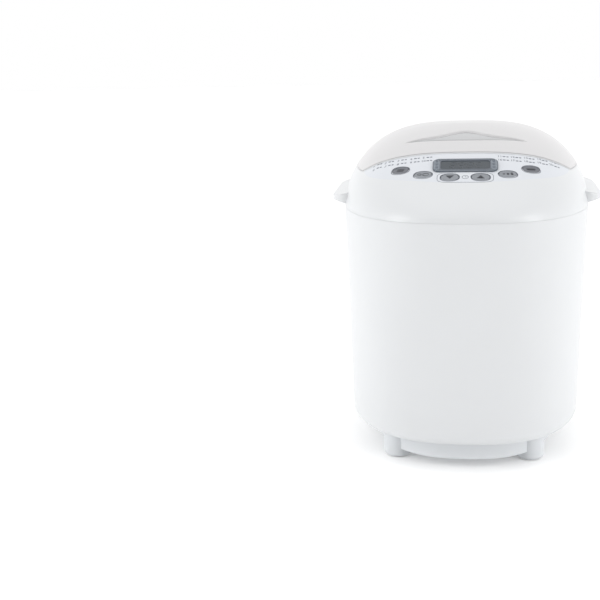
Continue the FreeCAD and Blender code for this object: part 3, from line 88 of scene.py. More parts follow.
# %% Studio
TENT_LIGHT = 1.20
TENT_GAP = 0.0
TENT_ROOF = 0.92
BACKDROP = 1.0
GAP_DIRECTION = (0.0, -0.97, 0.1)
GAP_EDGES = (0.52, 0.92)
ROOF_EDGES = (0.35, 0.95)

world = bpy.data.worlds.new("tent")
world.use_nodes = True
bpy.context.scene.world = world
nodes = world.node_tree.nodes
links = world.node_tree.links
nodes.clear()


def soft_step(value, edges, first, last):
    """A smooth passage from the first level to the last while the value goes between the edges."""
    step = nodes.new("ShaderNodeMapRange")
    step.interpolation_type = "SMOOTHSTEP"
    for name, number in zip(("From Min", "From Max", "To Min", "To Max"), (*edges, first, last)):
        step.inputs[name].default_value = number
    links.new(value, step.inputs["Value"])
    return step.outputs["Result"]


direction = nodes.new("ShaderNodeTexCoord").outputs["Generated"]
facing = nodes.new("ShaderNodeVectorMath")
facing.operation = "DOT_PRODUCT"
facing.inputs[1].default_value = GAP_DIRECTION
links.new(direction, facing.inputs[0])
upward = nodes.new("ShaderNodeSeparateXYZ")
links.new(direction, upward.inputs[0])
lit = nodes.new("ShaderNodeMath")
lit.operation = "MULTIPLY"
links.new(soft_step(facing.outputs["Value"], GAP_EDGES, TENT_LIGHT, TENT_GAP), lit.inputs[0])
links.new(soft_step(upward.outputs["Z"], ROOF_EDGES, 1.0, TENT_ROOF / TENT_LIGHT), lit.inputs[1])
seen = nodes.new("ShaderNodeLightPath")
choice = nodes.new("ShaderNodeMix")
choice.data_type = "FLOAT"
choice.inputs[3].default_value = BACKDROP
links.new(seen.outputs["Is Camera Ray"], choice.inputs["Factor"])
links.new(lit.outputs["Value"], choice.inputs[2])
background = nodes.new("ShaderNodeBackground")
background.inputs["Color"].default_value = (1.0, 1.0, 1.0, 1.0)
links.new(choice.outputs[0], background.inputs["Strength"])
output = nodes.new("ShaderNodeOutputWorld")
links.new(background.outputs["Background"], output.inputs["Surface"])
print("tent", TENT_LIGHT, "down to", TENT_GAP, "in the gap")

# %% [markdown]
# A wide panel overhead lifts the shoulders and presses a soft shadow under the base. A tall panel on
# either side puts the two soft highlights on the housing. Their size makes the highlights' edges soft,
# which a point lamp can't do.

# %% Soft panels


def soft_panel(name, spot, target, size, watts):
    """A rectangular light that hangs at a spot and faces a target."""
    data = bpy.data.lights.new(name, "AREA")
    data.shape = "RECTANGLE"
    data.size, data.size_y = size
    data.energy = watts
    lamp = bpy.data.objects.new(name, data)
    bpy.context.scene.collection.objects.link(lamp)
    lamp.location = spot
    lamp.rotation_euler = (Vector(target) - Vector(spot)).to_track_quat("-Z", "Y").to_euler()
    return lamp


soft_panel("overhead", (0, 0.1, 1.9), (0, 0, 0.2), (1.6, 1.2), 3.0)
for name, side in (("side_left", -1), ("side_right", 1)):
    soft_panel(name, (side * 1.25, -0.85, 0.75), (0, 0, 0.15), (0.5, 1.2), 8.0)
print("three soft panels hung")

# %% [markdown]
# ## Surfaces from grids
# Every new piece is one grid of points. A shape is a function of two parameters, evaluated for the
# whole grid at once with numpy, and neighbouring points are joined by four-sided faces. The grid may
# close on itself in either direction: a ring of profiles makes a tube, a closed profile a solid rim.
# Points that fall together, as at the tip of a lens, are merged, and the faces turned outwards.

# %% Grids
MM = 0.001


def grid_faces(rows, columns, around=False, along=False):
    """Four-sided faces between neighbouring points of a grid; its rows or columns may close."""
    first = np.arange(rows if around else rows - 1)[:, None]
    second = np.arange(columns if along else columns - 1)[None, :]
    next_first = (first + 1) % rows
    next_second = (second + 1) % columns
    corners = [first * columns + second, next_first * columns + second,
               next_first * columns + next_second, first * columns + next_second]
    return np.stack(corners, axis=-1).reshape(-1, 4)


def mesh_from(name, points, faces):
    """A mesh from points in millimetres and lists of corners."""
    mesh = bpy.data.meshes.new(name)
    mesh.from_pydata((points.reshape(-1, 3) * MM).tolist(), [], faces)
    return mesh


def surface(name, points, body, around=False, along=False):
    """A piece from a grid of points in millimetres, riding on a body."""
    rows, columns = points.shape[:2]
    mesh = mesh_from(name, points, grid_faces(rows, columns, around, along).tolist())
    tidy_mesh(mesh)
    return put(name, mesh, body)


print("grids ready")

# %% [markdown]
# A raw grid isn't a finished piece yet. Its doubled points are merged and its faces turned outwards,
# it is hung on the body that it moves with, and an open skin gets a wall from a Solidify modifier.

# %% Finishing a piece
SAME_POINT = 0.002
NO_LENGTH = 0.001
MACHINE_MIDDLE = np.array([0.0, 0.02, 0.18])


def tidy_mesh(mesh):
    """Merge points that coincide, drop what is left without area and turn the faces outwards."""
    work = bmesh.new()
    work.from_mesh(mesh)
    bmesh.ops.remove_doubles(work, verts=work.verts, dist=SAME_POINT * MM)
    bmesh.ops.dissolve_degenerate(work, edges=work.edges, dist=NO_LENGTH * MM)
    loose = [vert for vert in work.verts if not vert.link_faces]
    bmesh.ops.delete(work, geom=loose, context="VERTS")
    bmesh.ops.recalc_face_normals(work, faces=work.faces)
    work.to_mesh(mesh)
    work.free()
    mesh.polygons.foreach_set("use_smooth", np.ones(len(mesh.polygons), bool))
    mesh.update()


def put(name, mesh, body):
    """Hang a finished mesh on the body it moves with."""
    piece = bpy.data.objects.new(name, mesh)
    bpy.context.scene.collection.objects.link(piece)
    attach(piece, body)
    return piece


def thicken(piece, wall):
    """Give an open skin its wall: Solidify adds the inner face and closes the rims."""
    modifier = piece.modifiers.new("wall", "SOLIDIFY")
    modifier.thickness = wall * MM
    modifier.offset = -1.0
    modifier.use_even_offset = True


def face_normals(mesh):
    """The direction in which each face looks, as rows."""
    normals = np.empty(len(mesh.polygons) * 3)
    mesh.polygons.foreach_get("normal", normals)
    return normals.reshape(-1, 3)


def face_up(piece):
    """Turn an open skin so that its faces look away from the machine's middle."""
    mesh = piece.data
    centres = np.empty(len(mesh.polygons) * 3)
    mesh.polygons.foreach_get("center", centres)
    away = centres.reshape(-1, 3) - MACHINE_MIDDLE
    if np.sum(face_normals(mesh) * away) < 0:
        mesh.flip_normals()


def clothe(piece, material):
    """Give a new piece its finish."""
    piece.data.materials.append(material)


print("points closer than", SAME_POINT, "mm are merged")

# %% [markdown]
# ## The casing's own curves
# Seen from above, the machine is a superellipse: |x/a| and |y/b|, raised to 2.5, add up to one. Going
# up from the seam, its half width and its front and rear shrink by laws of their own, which makes the
# rounded flanks, the long slope that carries the console, and a crest that lies behind the middle.
# The height over any point of the plan has no formula, so it is found by halving an interval.

# %% Outline and dome
PLAN_POWER = 2.5
SIDE_ROOT = 2.8
FRONT_POWER = 1.6
FRONT_ROOT = 1.25
HALVINGS = 34
NO_WIDTH = 1e-6
seam_low, seam_high = [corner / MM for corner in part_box("top_housing")]
SEAM = seam_low.z
HALF_WIDTH = seam_high.x
HALF_DEPTH = -seam_low.y
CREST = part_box("lid_cover")[1].z / MM
CREST_Y = 20.0
HINGE_ABOVE_DECK = 2.0
lid_joint = next(joint for joint in frame["joints"] if joint["name"] == "lid_hinge")
DECK = lid_joint["pos_m"][2] / MM - HINGE_ABOVE_DECK
LENS_HALF = 101.0
LENS_TIP_Y = -51.0
LENS_REAR = 12.0
RING = 288


def dome_section(height):
    """Half width, front and rear of the dome at a height, by the two power laws."""
    share = np.clip((height - SEAM) / (CREST - SEAM), 0, 1)
    side = (1 - share ** 2) ** (1 / SIDE_ROOT)
    slope = (1 - share ** FRONT_POWER) ** (1 / FRONT_ROOT)
    front = CREST_Y - (CREST_Y + HALF_DEPTH) * slope
    rear = CREST_Y + (HALF_DEPTH - CREST_Y) * side
    return HALF_WIDTH * side, front, rear


def dome_height(x, y):
    """Height of the dome over a plan point, by halving; arrays in, array out."""
    low = np.full(np.broadcast(x, y).shape, SEAM, float)
    high = np.full(low.shape, CREST, float)
    for _ in range(HALVINGS):
        middle = (low + high) / 2
        half_width, front, rear = dome_section(middle)
        half_depth = np.maximum((rear - front) / 2, NO_WIDTH)
        reach = np.abs(x / np.maximum(half_width, NO_WIDTH)) ** PLAN_POWER
        reach = reach + np.abs((y - (front + rear) / 2) / half_depth) ** PLAN_POWER
        low = np.where(reach < 1, middle, low)
        high = np.where(reach < 1, high, middle)
    return low


def ring_angles(count=RING):
    """Equal steps of one full turn."""
    return 2 * np.pi * np.arange(count) / count


def superellipse(angle, half_width, front, rear):
    """Plan points of the rounded outline at given angles."""
    cosine, sine = np.cos(angle), np.sin(angle)
    reach = (np.abs(cosine) ** PLAN_POWER + np.abs(sine) ** PLAN_POWER) ** (-1 / PLAN_POWER)
    return half_width * reach * cosine, (front + rear) / 2 + (rear - front) / 2 * reach * sine


def lens_rear(x):
    """The console's rear edge in plan: half an ellipse between the two tips."""
    return LENS_TIP_Y - LENS_REAR * np.sqrt(np.clip(1 - (x / LENS_HALF) ** 2, 0, 1))


print("seam", round(SEAM, 2), "deck", round(DECK, 2), "crest", round(CREST, 2))

# %% [markdown]
# ## Finishes
# Every finish of this machine is a colour between two tones, a roughness between two values and a
# fine relief, each led by a noise. So the nodes for these are made by a few small helpers. The noise
# reads Object coordinates, which stay with the piece when it moves.

# %% Noise and ranges


def new_group(name, inputs):
    """A group with the given inputs, which puts out a colour, a roughness and a normal."""
    group = bpy.data.node_groups.new(name, "ShaderNodeTree")
    for title, (kind, value) in inputs.items():
        made = group.interface.new_socket(title, in_out="INPUT", socket_type="NodeSocket" + kind)
        made.default_value = value
    for title, kind in (("Color", "Color"), ("Roughness", "Float"), ("Normal", "Vector")):
        group.interface.new_socket(title, in_out="OUTPUT", socket_type="NodeSocket" + kind)
    place = group.nodes.new("ShaderNodeTexCoord").outputs["Object"]
    return group, group.nodes.new("NodeGroupInput").outputs, group.nodes.new("NodeGroupOutput").inputs, place


def noise(tree, coordinate_output, scale, detail, roughness=0.5):
    """Soft noise between nought and one at the given places."""
    node = tree.nodes.new("ShaderNodeTexNoise")
    if isinstance(scale, (int, float)):
        node.inputs["Scale"].default_value = scale
    else:
        tree.links.new(scale, node.inputs["Scale"])
    node.inputs["Detail"].default_value = detail
    node.inputs["Roughness"].default_value = roughness
    tree.links.new(coordinate_output, node.inputs["Vector"])
    return node.outputs["Fac"]


def spread(tree, value_output, low, high):
    """Map the noise's middle half onto a range; low and high may be numbers or sockets."""
    node = tree.nodes.new("ShaderNodeMapRange")
    node.inputs["From Min"].default_value = 0.25
    node.inputs["From Max"].default_value = 0.75
    for key, end in (("To Min", low), ("To Max", high)):
        if isinstance(end, (int, float)):
            node.inputs[key].default_value = end
        else:
            tree.links.new(end, node.inputs[key])
    tree.links.new(value_output, node.inputs["Value"])
    return node.outputs["Result"]


print("noise and ranges ready")

# %% [markdown]
# Two tones and a relief complete the set. A finish is then a material with one group in it, whose
# three outputs go to the shader, while what is the same all over stays on the shader's own sockets.

# %% Tones and relief
GRAIN_HEIGHT = 0.0002


def between(tree, factor, first, second):
    """A colour between two colours, which may be values or sockets."""
    mix = tree.nodes.new("ShaderNodeMix")
    mix.data_type = "RGBA"
    tree.links.new(factor, mix.inputs["Factor"])
    for index, color in ((6, first), (7, second)):
        if isinstance(color, tuple):
            mix.inputs[index].default_value = color
        else:
            tree.links.new(color, mix.inputs[index])
    return mix.outputs[2]


def relief(tree, height, strength):
    """The normal of a surface with a fine relief."""
    bump = tree.nodes.new("ShaderNodeBump")
    bump.inputs["Distance"].default_value = GRAIN_HEIGHT
    tree.links.new(strength, bump.inputs["Strength"])
    tree.links.new(height, bump.inputs["Height"])
    return bump.outputs["Normal"]


def finish(name, group, values):
    """A material whose shader takes its colour, roughness and normal from a group with these values."""
    material = bpy.data.materials.new(name)
    material.use_nodes = True
    tree = material.node_tree
    shader = tree.nodes["Principled BSDF"]
    node = tree.nodes.new("ShaderNodeGroup")
    node.node_tree = group
    for title, value in values.items():
        node.inputs[title].default_value = value
    for title, target in (("Color", "Base Color"), ("Roughness", "Roughness"), ("Normal", "Normal")):
        tree.links.new(node.outputs[title], shader.inputs[target])
    return material, shader.inputs


print("tones and relief ready")

# %% [markdown]
# One group of nodes serves all moulded parts. It puts out a colour with the faint unevenness of
# pigment, a roughness that varies with handling, and the fine grain of the mould as a bump.

# %% Moulding group
PIGMENT_SCALE = 22.0
HANDLING_SCALE = 60.0
COAT_GLOSS = 0.08


def moulding_group():
    """Pigment clouds in the colour, handling in the gloss, mould grain in the normal."""
    group, inside, outside, place = new_group("moulding", {
        "Color": ("Color", (0.8, 0.8, 0.8, 1)), "Tint": ("Color", (0.7, 0.7, 0.7, 1)),
        "Smooth": ("Float", 0.25), "Dull": ("Float", 0.4),
        "Grain Size": ("Float", 900.0), "Grain Depth": ("Float", 0.1)})
    pigment = spread(group, noise(group, place, PIGMENT_SCALE, 3.0), 0.0, 1.0)
    handling = noise(group, place, HANDLING_SCALE, 5.0, 0.6)
    grain = noise(group, place, inside["Grain Size"], 2.0)
    group.links.new(between(group, pigment, inside["Color"], inside["Tint"]), outside["Color"])
    group.links.new(spread(group, handling, inside["Smooth"], inside["Dull"]), outside["Roughness"])
    group.links.new(relief(group, grain, inside["Grain Depth"]), outside["Normal"])
    return group


MOULDING = moulding_group()


def moulded(name, color, smooth, dull, grain=900.0, depth=0.1, shade=0.97, coat=0.0):
    """A material of the moulding group: a colour, its slightly darker tint, and its own gloss."""
    material, shader = finish(name, MOULDING, {
        "Color": (*color, 1), "Tint": (*[channel * shade for channel in color], 1),
        "Smooth": smooth, "Dull": dull, "Grain Size": grain, "Grain Depth": depth})
    shader["Coat Weight"].default_value = coat
    shader["Coat Roughness"].default_value = COAT_GLOSS
    return material


print("moulding group made")

# %% [markdown]
# The casing is bright white with a hint of blue, half gloss, as unpainted moulded plastic is. The
# lid comes from another mould and batch, and is a touch warmer and greyer. Both moulds are polished,
# so their grain has no depth. Keys are a soft matt grey. Each line gives a colour, the roughness where
# smooth and where dull, the grain's fineness and depth, the tint's share of the colour, and the coat.

# %% Plastic finishes
casing_white = moulded("casing_white", (0.648, 0.660, 0.672), 0.30, 0.33, 260, 0.0, 0.99)
lid_white = moulded("lid_white", (0.600, 0.594, 0.600), 0.30, 0.34, 120, 0.0, 0.99)
base_white = moulded("base_white", (0.66, 0.68, 0.70), 0.4, 0.5, 1200, 0.1, 0.98)
fascia_film = moulded("fascia_film", (0.630, 0.652, 0.690), 0.28, 0.34, 1500, 0.05, 0.99, 0.15)
window_grey = moulded("window_grey", (0.47, 0.475, 0.485), 0.14, 0.2, 260, 0.0, 0.98, 0.3)
key_grey = moulded("key_grey", (0.235, 0.25, 0.275), 0.4, 0.5, 1800, 0.25, 0.93)
key_dark = moulded("key_dark", (0.135, 0.142, 0.162), 0.4, 0.5, 1800, 0.25, 0.93)
bezel_blue = moulded("bezel_blue", (0.085, 0.103, 0.128), 0.22, 0.3, 900, 0.05, 0.95, 0.3)
print_blue = moulded("print_blue", (0.12, 0.135, 0.17), 0.45, 0.55, 2500, 0.02, 0.9)
sign_ink = moulded("sign_ink", (0.030, 0.033, 0.042), 0.45, 0.55, 2500, 0.02, 0.9)
field_grey = moulded("field_grey", (0.20, 0.23, 0.265), 0.35, 0.45, 900, 0.03, 0.95)
# This dark grey is painted shade: it colours the bead that stands for the shadow in the gap along the
# window's front edge.
painted_gap_shade = moulded("painted_gap_shade", (0.27, 0.27, 0.28), 0.45, 0.6, 700, 0.1, 0.9)
black_plastic = moulded("black_plastic", (0.03, 0.03, 0.033), 0.4, 0.55, 900, 0.2, 0.8)
soft_rubber = moulded("soft_rubber", (0.035, 0.035, 0.036), 0.65, 0.8, 500, 0.3, 0.8)
silicone = moulded("silicone", (0.36, 0.36, 0.37), 0.5, 0.62, 600, 0.15, 0.93)
ceramic = moulded("ceramic", (0.78, 0.74, 0.66), 0.2, 0.35, 300, 0.1, 0.94, 0.4)
solder_green = moulded("solder_green", (0.03, 0.16, 0.07), 0.25, 0.4, 300, 0.1, 0.8, 0.4)
print("finishes so far:", len(bpy.data.materials))

# %% [markdown]
# ## Metals
# The oven is bent from aluminised sheet, the pan is coated, and shafts and screws are turned steel.
# What tells them apart is the direction and size of the marks in the surface, so this group stretches
# one noise along a chosen axis for the rolling or turning marks, and lays a slow heat stain over it.

# %% Metal group
MARK_SCALE = 160.0
STAIN_SCALE = 28.0


def metal_group():
    """Stretched working marks in gloss and normal, slow stain clouds in the colour."""
    group, inside, outside, place = new_group("worked_metal", {
        "Color": ("Color", (0.6, 0.6, 0.6, 1)), "Stain": ("Color", (0.4, 0.36, 0.3, 1)),
        "Stain Amount": ("Float", 0.3), "Stretch": ("Vector", (1, 1, 12)),
        "Smooth": ("Float", 0.2), "Dull": ("Float", 0.45), "Mark Depth": ("Float", 0.15)})
    stretched = group.nodes.new("ShaderNodeVectorMath")
    stretched.operation = "MULTIPLY"
    group.links.new(place, stretched.inputs[0])
    group.links.new(inside["Stretch"], stretched.inputs[1])
    marks = noise(group, stretched.outputs["Vector"], MARK_SCALE, 4.0, 0.65)
    stain = group.nodes.new("ShaderNodeMath")
    stain.operation = "MULTIPLY"
    group.links.new(spread(group, noise(group, place, STAIN_SCALE, 4.0, 0.55), 0.0, 1.0), stain.inputs[0])
    group.links.new(inside["Stain Amount"], stain.inputs[1])
    stained = between(group, stain.outputs["Value"], inside["Color"], inside["Stain"])
    group.links.new(stained, outside["Color"])
    group.links.new(spread(group, marks, inside["Smooth"], inside["Dull"]), outside["Roughness"])
    group.links.new(relief(group, marks, inside["Mark Depth"]), outside["Normal"])
    return group


WORKED_METAL = metal_group()


def metal(name, color, stain, amount, stretch, smooth, dull, depth=0.15, metallic=1.0):
    """A material of the metal group; the stretch sets which way its marks run."""
    material, shader = finish(name, WORKED_METAL, {
        "Color": (*color, 1), "Stain": (*stain, 1), "Stain Amount": amount, "Stretch": stretch,
        "Smooth": smooth, "Dull": dull, "Mark Depth": depth})
    shader["Metallic"].default_value = metallic
    return material


print("metal group made")

# %% [markdown]
# Rolled sheet has marks along the wall's height, turned shafts have rings across their axis, and the
# non-stick coat is not metal at all to the eye: a dark, soft, slightly mottled film over a casting.

# %% Metal finishes
turned_steel = metal("turned_steel", (0.56, 0.56, 0.57), (0.36, 0.34, 0.31), 0.25, (1, 1, 9), 0.16, 0.34,
                     0.12)
handle_steel = metal("handle_steel", (0.62, 0.62, 0.63), (0.42, 0.40, 0.36), 0.2, (9, 1, 9), 0.12, 0.26, 0.1)
oven_sheet = metal("oven_sheet", (0.60, 0.60, 0.60), (0.44, 0.40, 0.33), 0.45, (6, 6, 0.7), 0.28, 0.5, 0.25)
element_steel = metal("element_steel", (0.22, 0.20, 0.19), (0.12, 0.075, 0.05), 0.8, (3, 3, 8), 0.4, 0.6, 0.3)
core_steel = metal("core_steel", (0.34, 0.34, 0.35), (0.22, 0.17, 0.13), 0.5, (1, 1, 40), 0.35, 0.6, 0.5)
cast_alloy = metal("cast_alloy", (0.50, 0.50, 0.49), (0.34, 0.33, 0.31), 0.5, (2, 2, 2), 0.42, 0.6, 0.6)
bronze = metal("bronze", (0.52, 0.36, 0.20), (0.28, 0.18, 0.10), 0.6, (1, 1, 9), 0.3, 0.5, 0.25)
nonstick = metal("nonstick", (0.040, 0.040, 0.042), (0.065, 0.064, 0.062), 0.7, (3, 3, 3), 0.34, 0.48, 0.35,
                 metallic=0.0)
pan_outside = metal("pan_outside", (0.16, 0.16, 0.165), (0.11, 0.105, 0.1), 0.6, (5, 5, 1), 0.36, 0.52, 0.3,
                    metallic=0.6)
print("metal finishes made")

# %% [markdown]
# ## Dressing the design's own parts
# Most parts already have their exact shape, so they only need a finish. A table names the finish of
# each one. The table is checked, so that no part is forgotten.

# %% Finishes of the carried-over parts
finishes = {
    casing_white: ["body_shell", "top_housing", "left_grip", "right_grip"],
    lid_white: ["lid_cover"],
    base_white: ["base_tray", "foot_front_left", "foot_front_right", "foot_rear_left", "foot_rear_right"],
    fascia_film: ["control_panel"],
    window_grey: ["lid_window"],
    bezel_blue: ["display_bezel"],
    key_grey: ["button_loaf_size", "button_time_down", "button_time_up", "button_crust"],
    key_dark: ["button_menu", "button_start_stop"],
    soft_rubber: ["foot_pads", "drive_belt"],
    silicone: ["lid_gasket"],
    black_plastic: ["cord_gland", "tact_switches", "board_holder", "motor_fan", "large_pulley",
                    "motor_pulley", "motor_capacitor"],
    ceramic: ["element_terminals", "thermal_fuse"],
    solder_green: ["control_board", "power_board"],
    turned_steel: ["hinge_pins", "lid_screws", "pan_pivots", "pan_shaft", "drive_spindle", "base_screws",
                   "chassis_screws", "temperature_sensor", "element_clips", "pan_catches"],
    handle_steel: ["pan_handle"],
    oven_sheet: ["oven_liner", "liner_brackets", "lid_liner", "chassis_plate"],
    element_steel: ["heating_element"],
    core_steel: ["motor_stator", "motor_rotor", "transformer"],
    cast_alloy: ["drive_coupling", "motor_frame"],
    bronze: ["pan_bush", "spindle_bearing"],
    nonstick: ["kneading_paddle"],
    pan_outside: ["bread_pan"],
}


def dress(node, material):
    """Put a finish into every material place of a carried-over part."""
    for place in frame["nodes"][node].material_slots:
        place.material = material


for material, members in finishes.items():
    for member in members:
        dress(member, material)
print(sum(len(members) for members in finishes.values()), "parts dressed")

# %% [markdown]
# ## The display glass
# Behind the pane lies an unlit liquid crystal: a bluish grey that looks nearly black under its gloss.
# One dark glossy finish, faintly clouded, serves both the pane and the module under it.

# %% Display finish


def display_glass():
    """Dark grey glass whose tone and gloss change slowly from place to place."""
    material = bpy.data.materials.new("display_glass")
    material.use_nodes = True
    tree = material.node_tree
    shader = tree.nodes["Principled BSDF"].inputs
    place = tree.nodes.new("ShaderNodeTexCoord").outputs["Object"]
    cloud = noise(tree, place, 35.0, 2.0)
    tone = between(tree, spread(tree, cloud, 0.0, 1.0), (0.052, 0.062, 0.073, 1), (0.064, 0.075, 0.087, 1))
    shader["Specular IOR Level"].default_value = 0.3
    tree.links.new(tone, shader["Base Color"])
    tree.links.new(spread(tree, cloud, 0.10, 0.16), shader["Roughness"])
    return material


screen_glass = display_glass()
dress("display_lens", screen_glass)
dress("lcd_module", screen_glass)
finishes[screen_glass] = ["display_lens", "lcd_module"]
undressed = set(frame["nodes"]) - {member for members in finishes.values() for member in members}
print("parts without a finish:", sorted(undressed))

# %% [markdown]
# ## Marks that lie on the dome
# The console's film is printed. The print follows the dome, so every mark is drawn flat in plan, cut
# fine enough to bend, and lifted onto the surface, all its points at once. A little thickness keeps it
# clear of the film from every angle.

# %% Places on the dome


def on_dome(x, y, lift):
    """Points of a plan grid placed on the dome: its height over each point, plus the lift."""
    x, y = np.broadcast_arrays(np.asarray(x, float), np.asarray(y, float))
    return np.stack([x, y, dome_height(x, y) + lift], axis=-1)


def turned(u, v, x, y, degrees):
    """Turn local plan coordinates and move them to a place."""
    turn = math.radians(degrees)
    return x + u * math.cos(turn) - v * math.sin(turn), y + u * math.sin(turn) + v * math.cos(turn)


def band_grid(outline, width, steps=3):
    """A closed ribbon in plan: the outline and copies of it grown outwards by up to the width."""
    before, after = np.roll(outline, 1, axis=0), np.roll(outline, -1, axis=0)
    along = after - before
    normal = np.stack([along[:, 1], -along[:, 0]], axis=-1)
    normal /= np.linalg.norm(normal, axis=1, keepdims=True)
    share = np.linspace(0, width, steps)[None, :, None]
    return outline[:, None, :] + normal[:, None, :] * share


def oval_outline(length, height, count=64, power=2.3):
    """Superellipse outline about the origin: |u/a|^n + |v/b|^n = 1."""
    angle = ring_angles(count)
    cosine, sine = np.cos(angle), np.sin(angle)
    reach = (np.abs(cosine) ** power + np.abs(sine) ** power) ** (-1 / power)
    return np.stack([length / 2 * reach * cosine, height / 2 * reach * sine], axis=-1)


print("marks can be laid on the dome")

# %% [markdown]
# Marks that belong together are a single piece: their small grids are joined before they are bent.
# Two kinds of mark make up nearly all of the print, a rounded dash and a closed ribbon.

# %% Printed film
PRINT_LIFT = 0.10
PRINT_FILM = 0.12


def joined(grids):
    """Plan points and faces of many small grids together, each given as (grid, closes on itself)."""
    sizes = [grid.shape[0] * grid.shape[1] for grid, _ in grids]
    starts = np.cumsum([0] + sizes[:-1])
    faces = [grid_faces(*grid.shape[:2], around=closes) + start
             for (grid, closes), start in zip(grids, starts)]
    return np.concatenate([grid.reshape(-1, 2) for grid, _ in grids]), np.concatenate(faces).tolist()


def film(name, grids, material, body="casing", lift=PRINT_LIFT):
    """One printed piece from many small plan grids, bent onto the dome."""
    plan, faces = joined(grids)
    mesh = mesh_from(name, on_dome(plan[:, 0], plan[:, 1], lift), faces)
    finish_film(name, mesh, material, body)


def finish_film(name, mesh, material, body):
    """Merge what coincides, turn every face up, and give the film its thickness."""
    tidy_mesh(mesh)
    work = bmesh.new()
    work.from_mesh(mesh)
    bmesh.ops.reverse_faces(work, faces=[face for face in work.faces if face.normal.z < 0])
    work.to_mesh(mesh)
    work.free()
    piece = put(name, mesh, body)
    thicken(piece, PRINT_FILM)
    clothe(piece, material)


def bar(x, y, length, height, degrees=0.0):
    """A rounded dash as a small plan grid: its half height follows a superellipse along its length."""
    u = np.linspace(-1, 1, 9)[:, None]
    v = np.linspace(-1, 1, 3)[None, :]
    swell = (1 - np.abs(u) ** 6) ** 0.5
    across, along = turned(u * length / 2 + 0 * v, v * swell * height / 2, x, y, degrees)
    return np.stack([across, along], axis=-1), False


def ribbon(outline, width, x=0.0, y=0.0, degrees=0.0):
    """A closed ribbon along an outline, turned and moved to its place."""
    grid = band_grid(outline, width)
    across, along = turned(grid[..., 0], grid[..., 1], x, y, degrees)
    return np.stack([across, along], axis=-1), True


print("print film", PRINT_FILM, "mm, lifted", PRINT_LIFT, "mm")

# %% [markdown]
# ## Keys
# Each key is an oval cap, slightly dished so that a finger finds it, with a soft shoulder down into
# its hole. The cap is a stack of rings whose radius and lift are two columns of a short table. Each
# ring follows the dome under it, so all six caps lean the way the console does.

# %% Key caps
KEY_LENGTH = 16.6
KEY_HEIGHT = 10.6
KEY_GAP = 0.9
CONSOLE_SLOPE = math.radians(21.8)
KEY_SLOPE = math.cos(CONSOLE_SLOPE)
KEY_PROFILE = np.array([(0.0, 0.22), (0.25, 0.23), (0.5, 0.28), (0.7, 0.36), (0.82, 0.40), (0.9, 0.36),
                        (0.95, 0.26), (0.985, 0.08), (1.0, -0.2), (1.0, -2.4), (0.97, -3.4), (0.3, -3.6),
                        (0.26, -5.4), (0.0, -5.6)])
KEYS = {
    "button_menu": (-61.0, -87.0, -19.0), "button_loaf_size": (-39.3, -100.5, -11.0),
    "button_time_down": (-14.2, -107.4, 0.0), "button_time_up": (14.2, -107.4, 0.0),
    "button_crust": (39.3, -100.5, 11.0), "button_start_stop": (61.0, -87.0, 19.0),
}


def key_cap(name, x, y, degrees, material):
    """Rings of an oval scaled by the profile's radius, each lifted off the dome by the profile's lift."""
    oval = oval_outline(KEY_LENGTH, KEY_HEIGHT * KEY_SLOPE, 72)
    grid = oval[None, :, :] * KEY_PROFILE[:, 0][:, None, None]
    across, along = turned(grid[..., 0], grid[..., 1], x, y, degrees)
    points = on_dome(across, along, 0.0)
    points[..., 2] += KEY_PROFILE[:, 1][:, None] / KEY_SLOPE
    cap = surface(name + "_cap", points, name, along=True)
    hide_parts(name)
    clothe(cap, material)


for key, (x, y, degrees) in KEYS.items():
    key_cap(key, x, y, degrees, key_dark if key in ("button_menu", "button_start_stop") else key_grey)

outline = oval_outline(KEY_LENGTH + KEY_GAP, KEY_HEIGHT * KEY_SLOPE + KEY_GAP, 72)
rims = [ribbon(outline, 0.6, x, y, degrees) for x, y, degrees in KEYS.values()]
film("key_outlines", rims, print_blue)
print(len(KEYS), "keys,", KEY_LENGTH, "by", KEY_HEIGHT, "mm")

# %% [markdown]
# Two of the keys set the time. The capsule drawn round the pair and the little clock between them are
# printed on the console. The triangles, and the marks on the other keys, move with their caps.

# %% Printed signs of the keys
KEY_TOP = 0.44
TRIANGLE_SIZE = 4.6
TRIANGLE_HALF_WIDTH = 0.62 * 1.3
LOAF_FLATNESS = 0.62


def triangle(x, y, size, up):
    """A triangle as a grid: its width shrinks to nothing along its height."""
    u = np.linspace(-1, 1, 5)[:, None]
    v = np.linspace(0, 1, 5)[None, :]
    along = (v - 0.5) * size * (1 if up else -1)
    return np.stack([x + u * (1 - v) * size * TRIANGLE_HALF_WIDTH, y + along + 0 * u], axis=-1), False


def sign(name, key, grids):
    """Print marks on a key, so that they move with it."""
    film(name, grids, sign_ink, body=key, lift=KEY_TOP)


down_x, time_y, _ = KEYS["button_time_down"]
up_x = KEYS["button_time_up"][0]
sign("sign_down", "button_time_down", [triangle(down_x, time_y, TRIANGLE_SIZE, False)])
sign("sign_up", "button_time_up", [triangle(up_x, time_y, TRIANGLE_SIZE, True)])
menu_x, menu_y, menu_turn = KEYS["button_menu"]
sign("sign_menu", "button_menu", [bar(*turned(0, offset, menu_x, menu_y, menu_turn), 7.5, 0.7, menu_turn)
                                  for offset in (-1.6, 0.0, 1.6)])
size_x, size_y, size_turn = KEYS["button_loaf_size"]
loaves = [(oval_outline(length, length * LOAF_FLATNESS, 32), turned(offset, 0, size_x, size_y, size_turn))
          for offset, length in ((-3.4, 3.0), (2.6, 5.0))]
sign("sign_loaf_size", "button_loaf_size", [ribbon(oval, 0.5, *spot, size_turn) for oval, spot in loaves])
crust_x, crust_y, crust_turn = KEYS["button_crust"]
sign("sign_crust", "button_crust",
     [bar(*turned(offset, 0, crust_x, crust_y, crust_turn), 2.4, height, crust_turn)
      for offset, height in ((-3.8, 1.2), (0.0, 2.2), (3.8, 3.4))])
start_x, start_y, start_turn = KEYS["button_start_stop"]
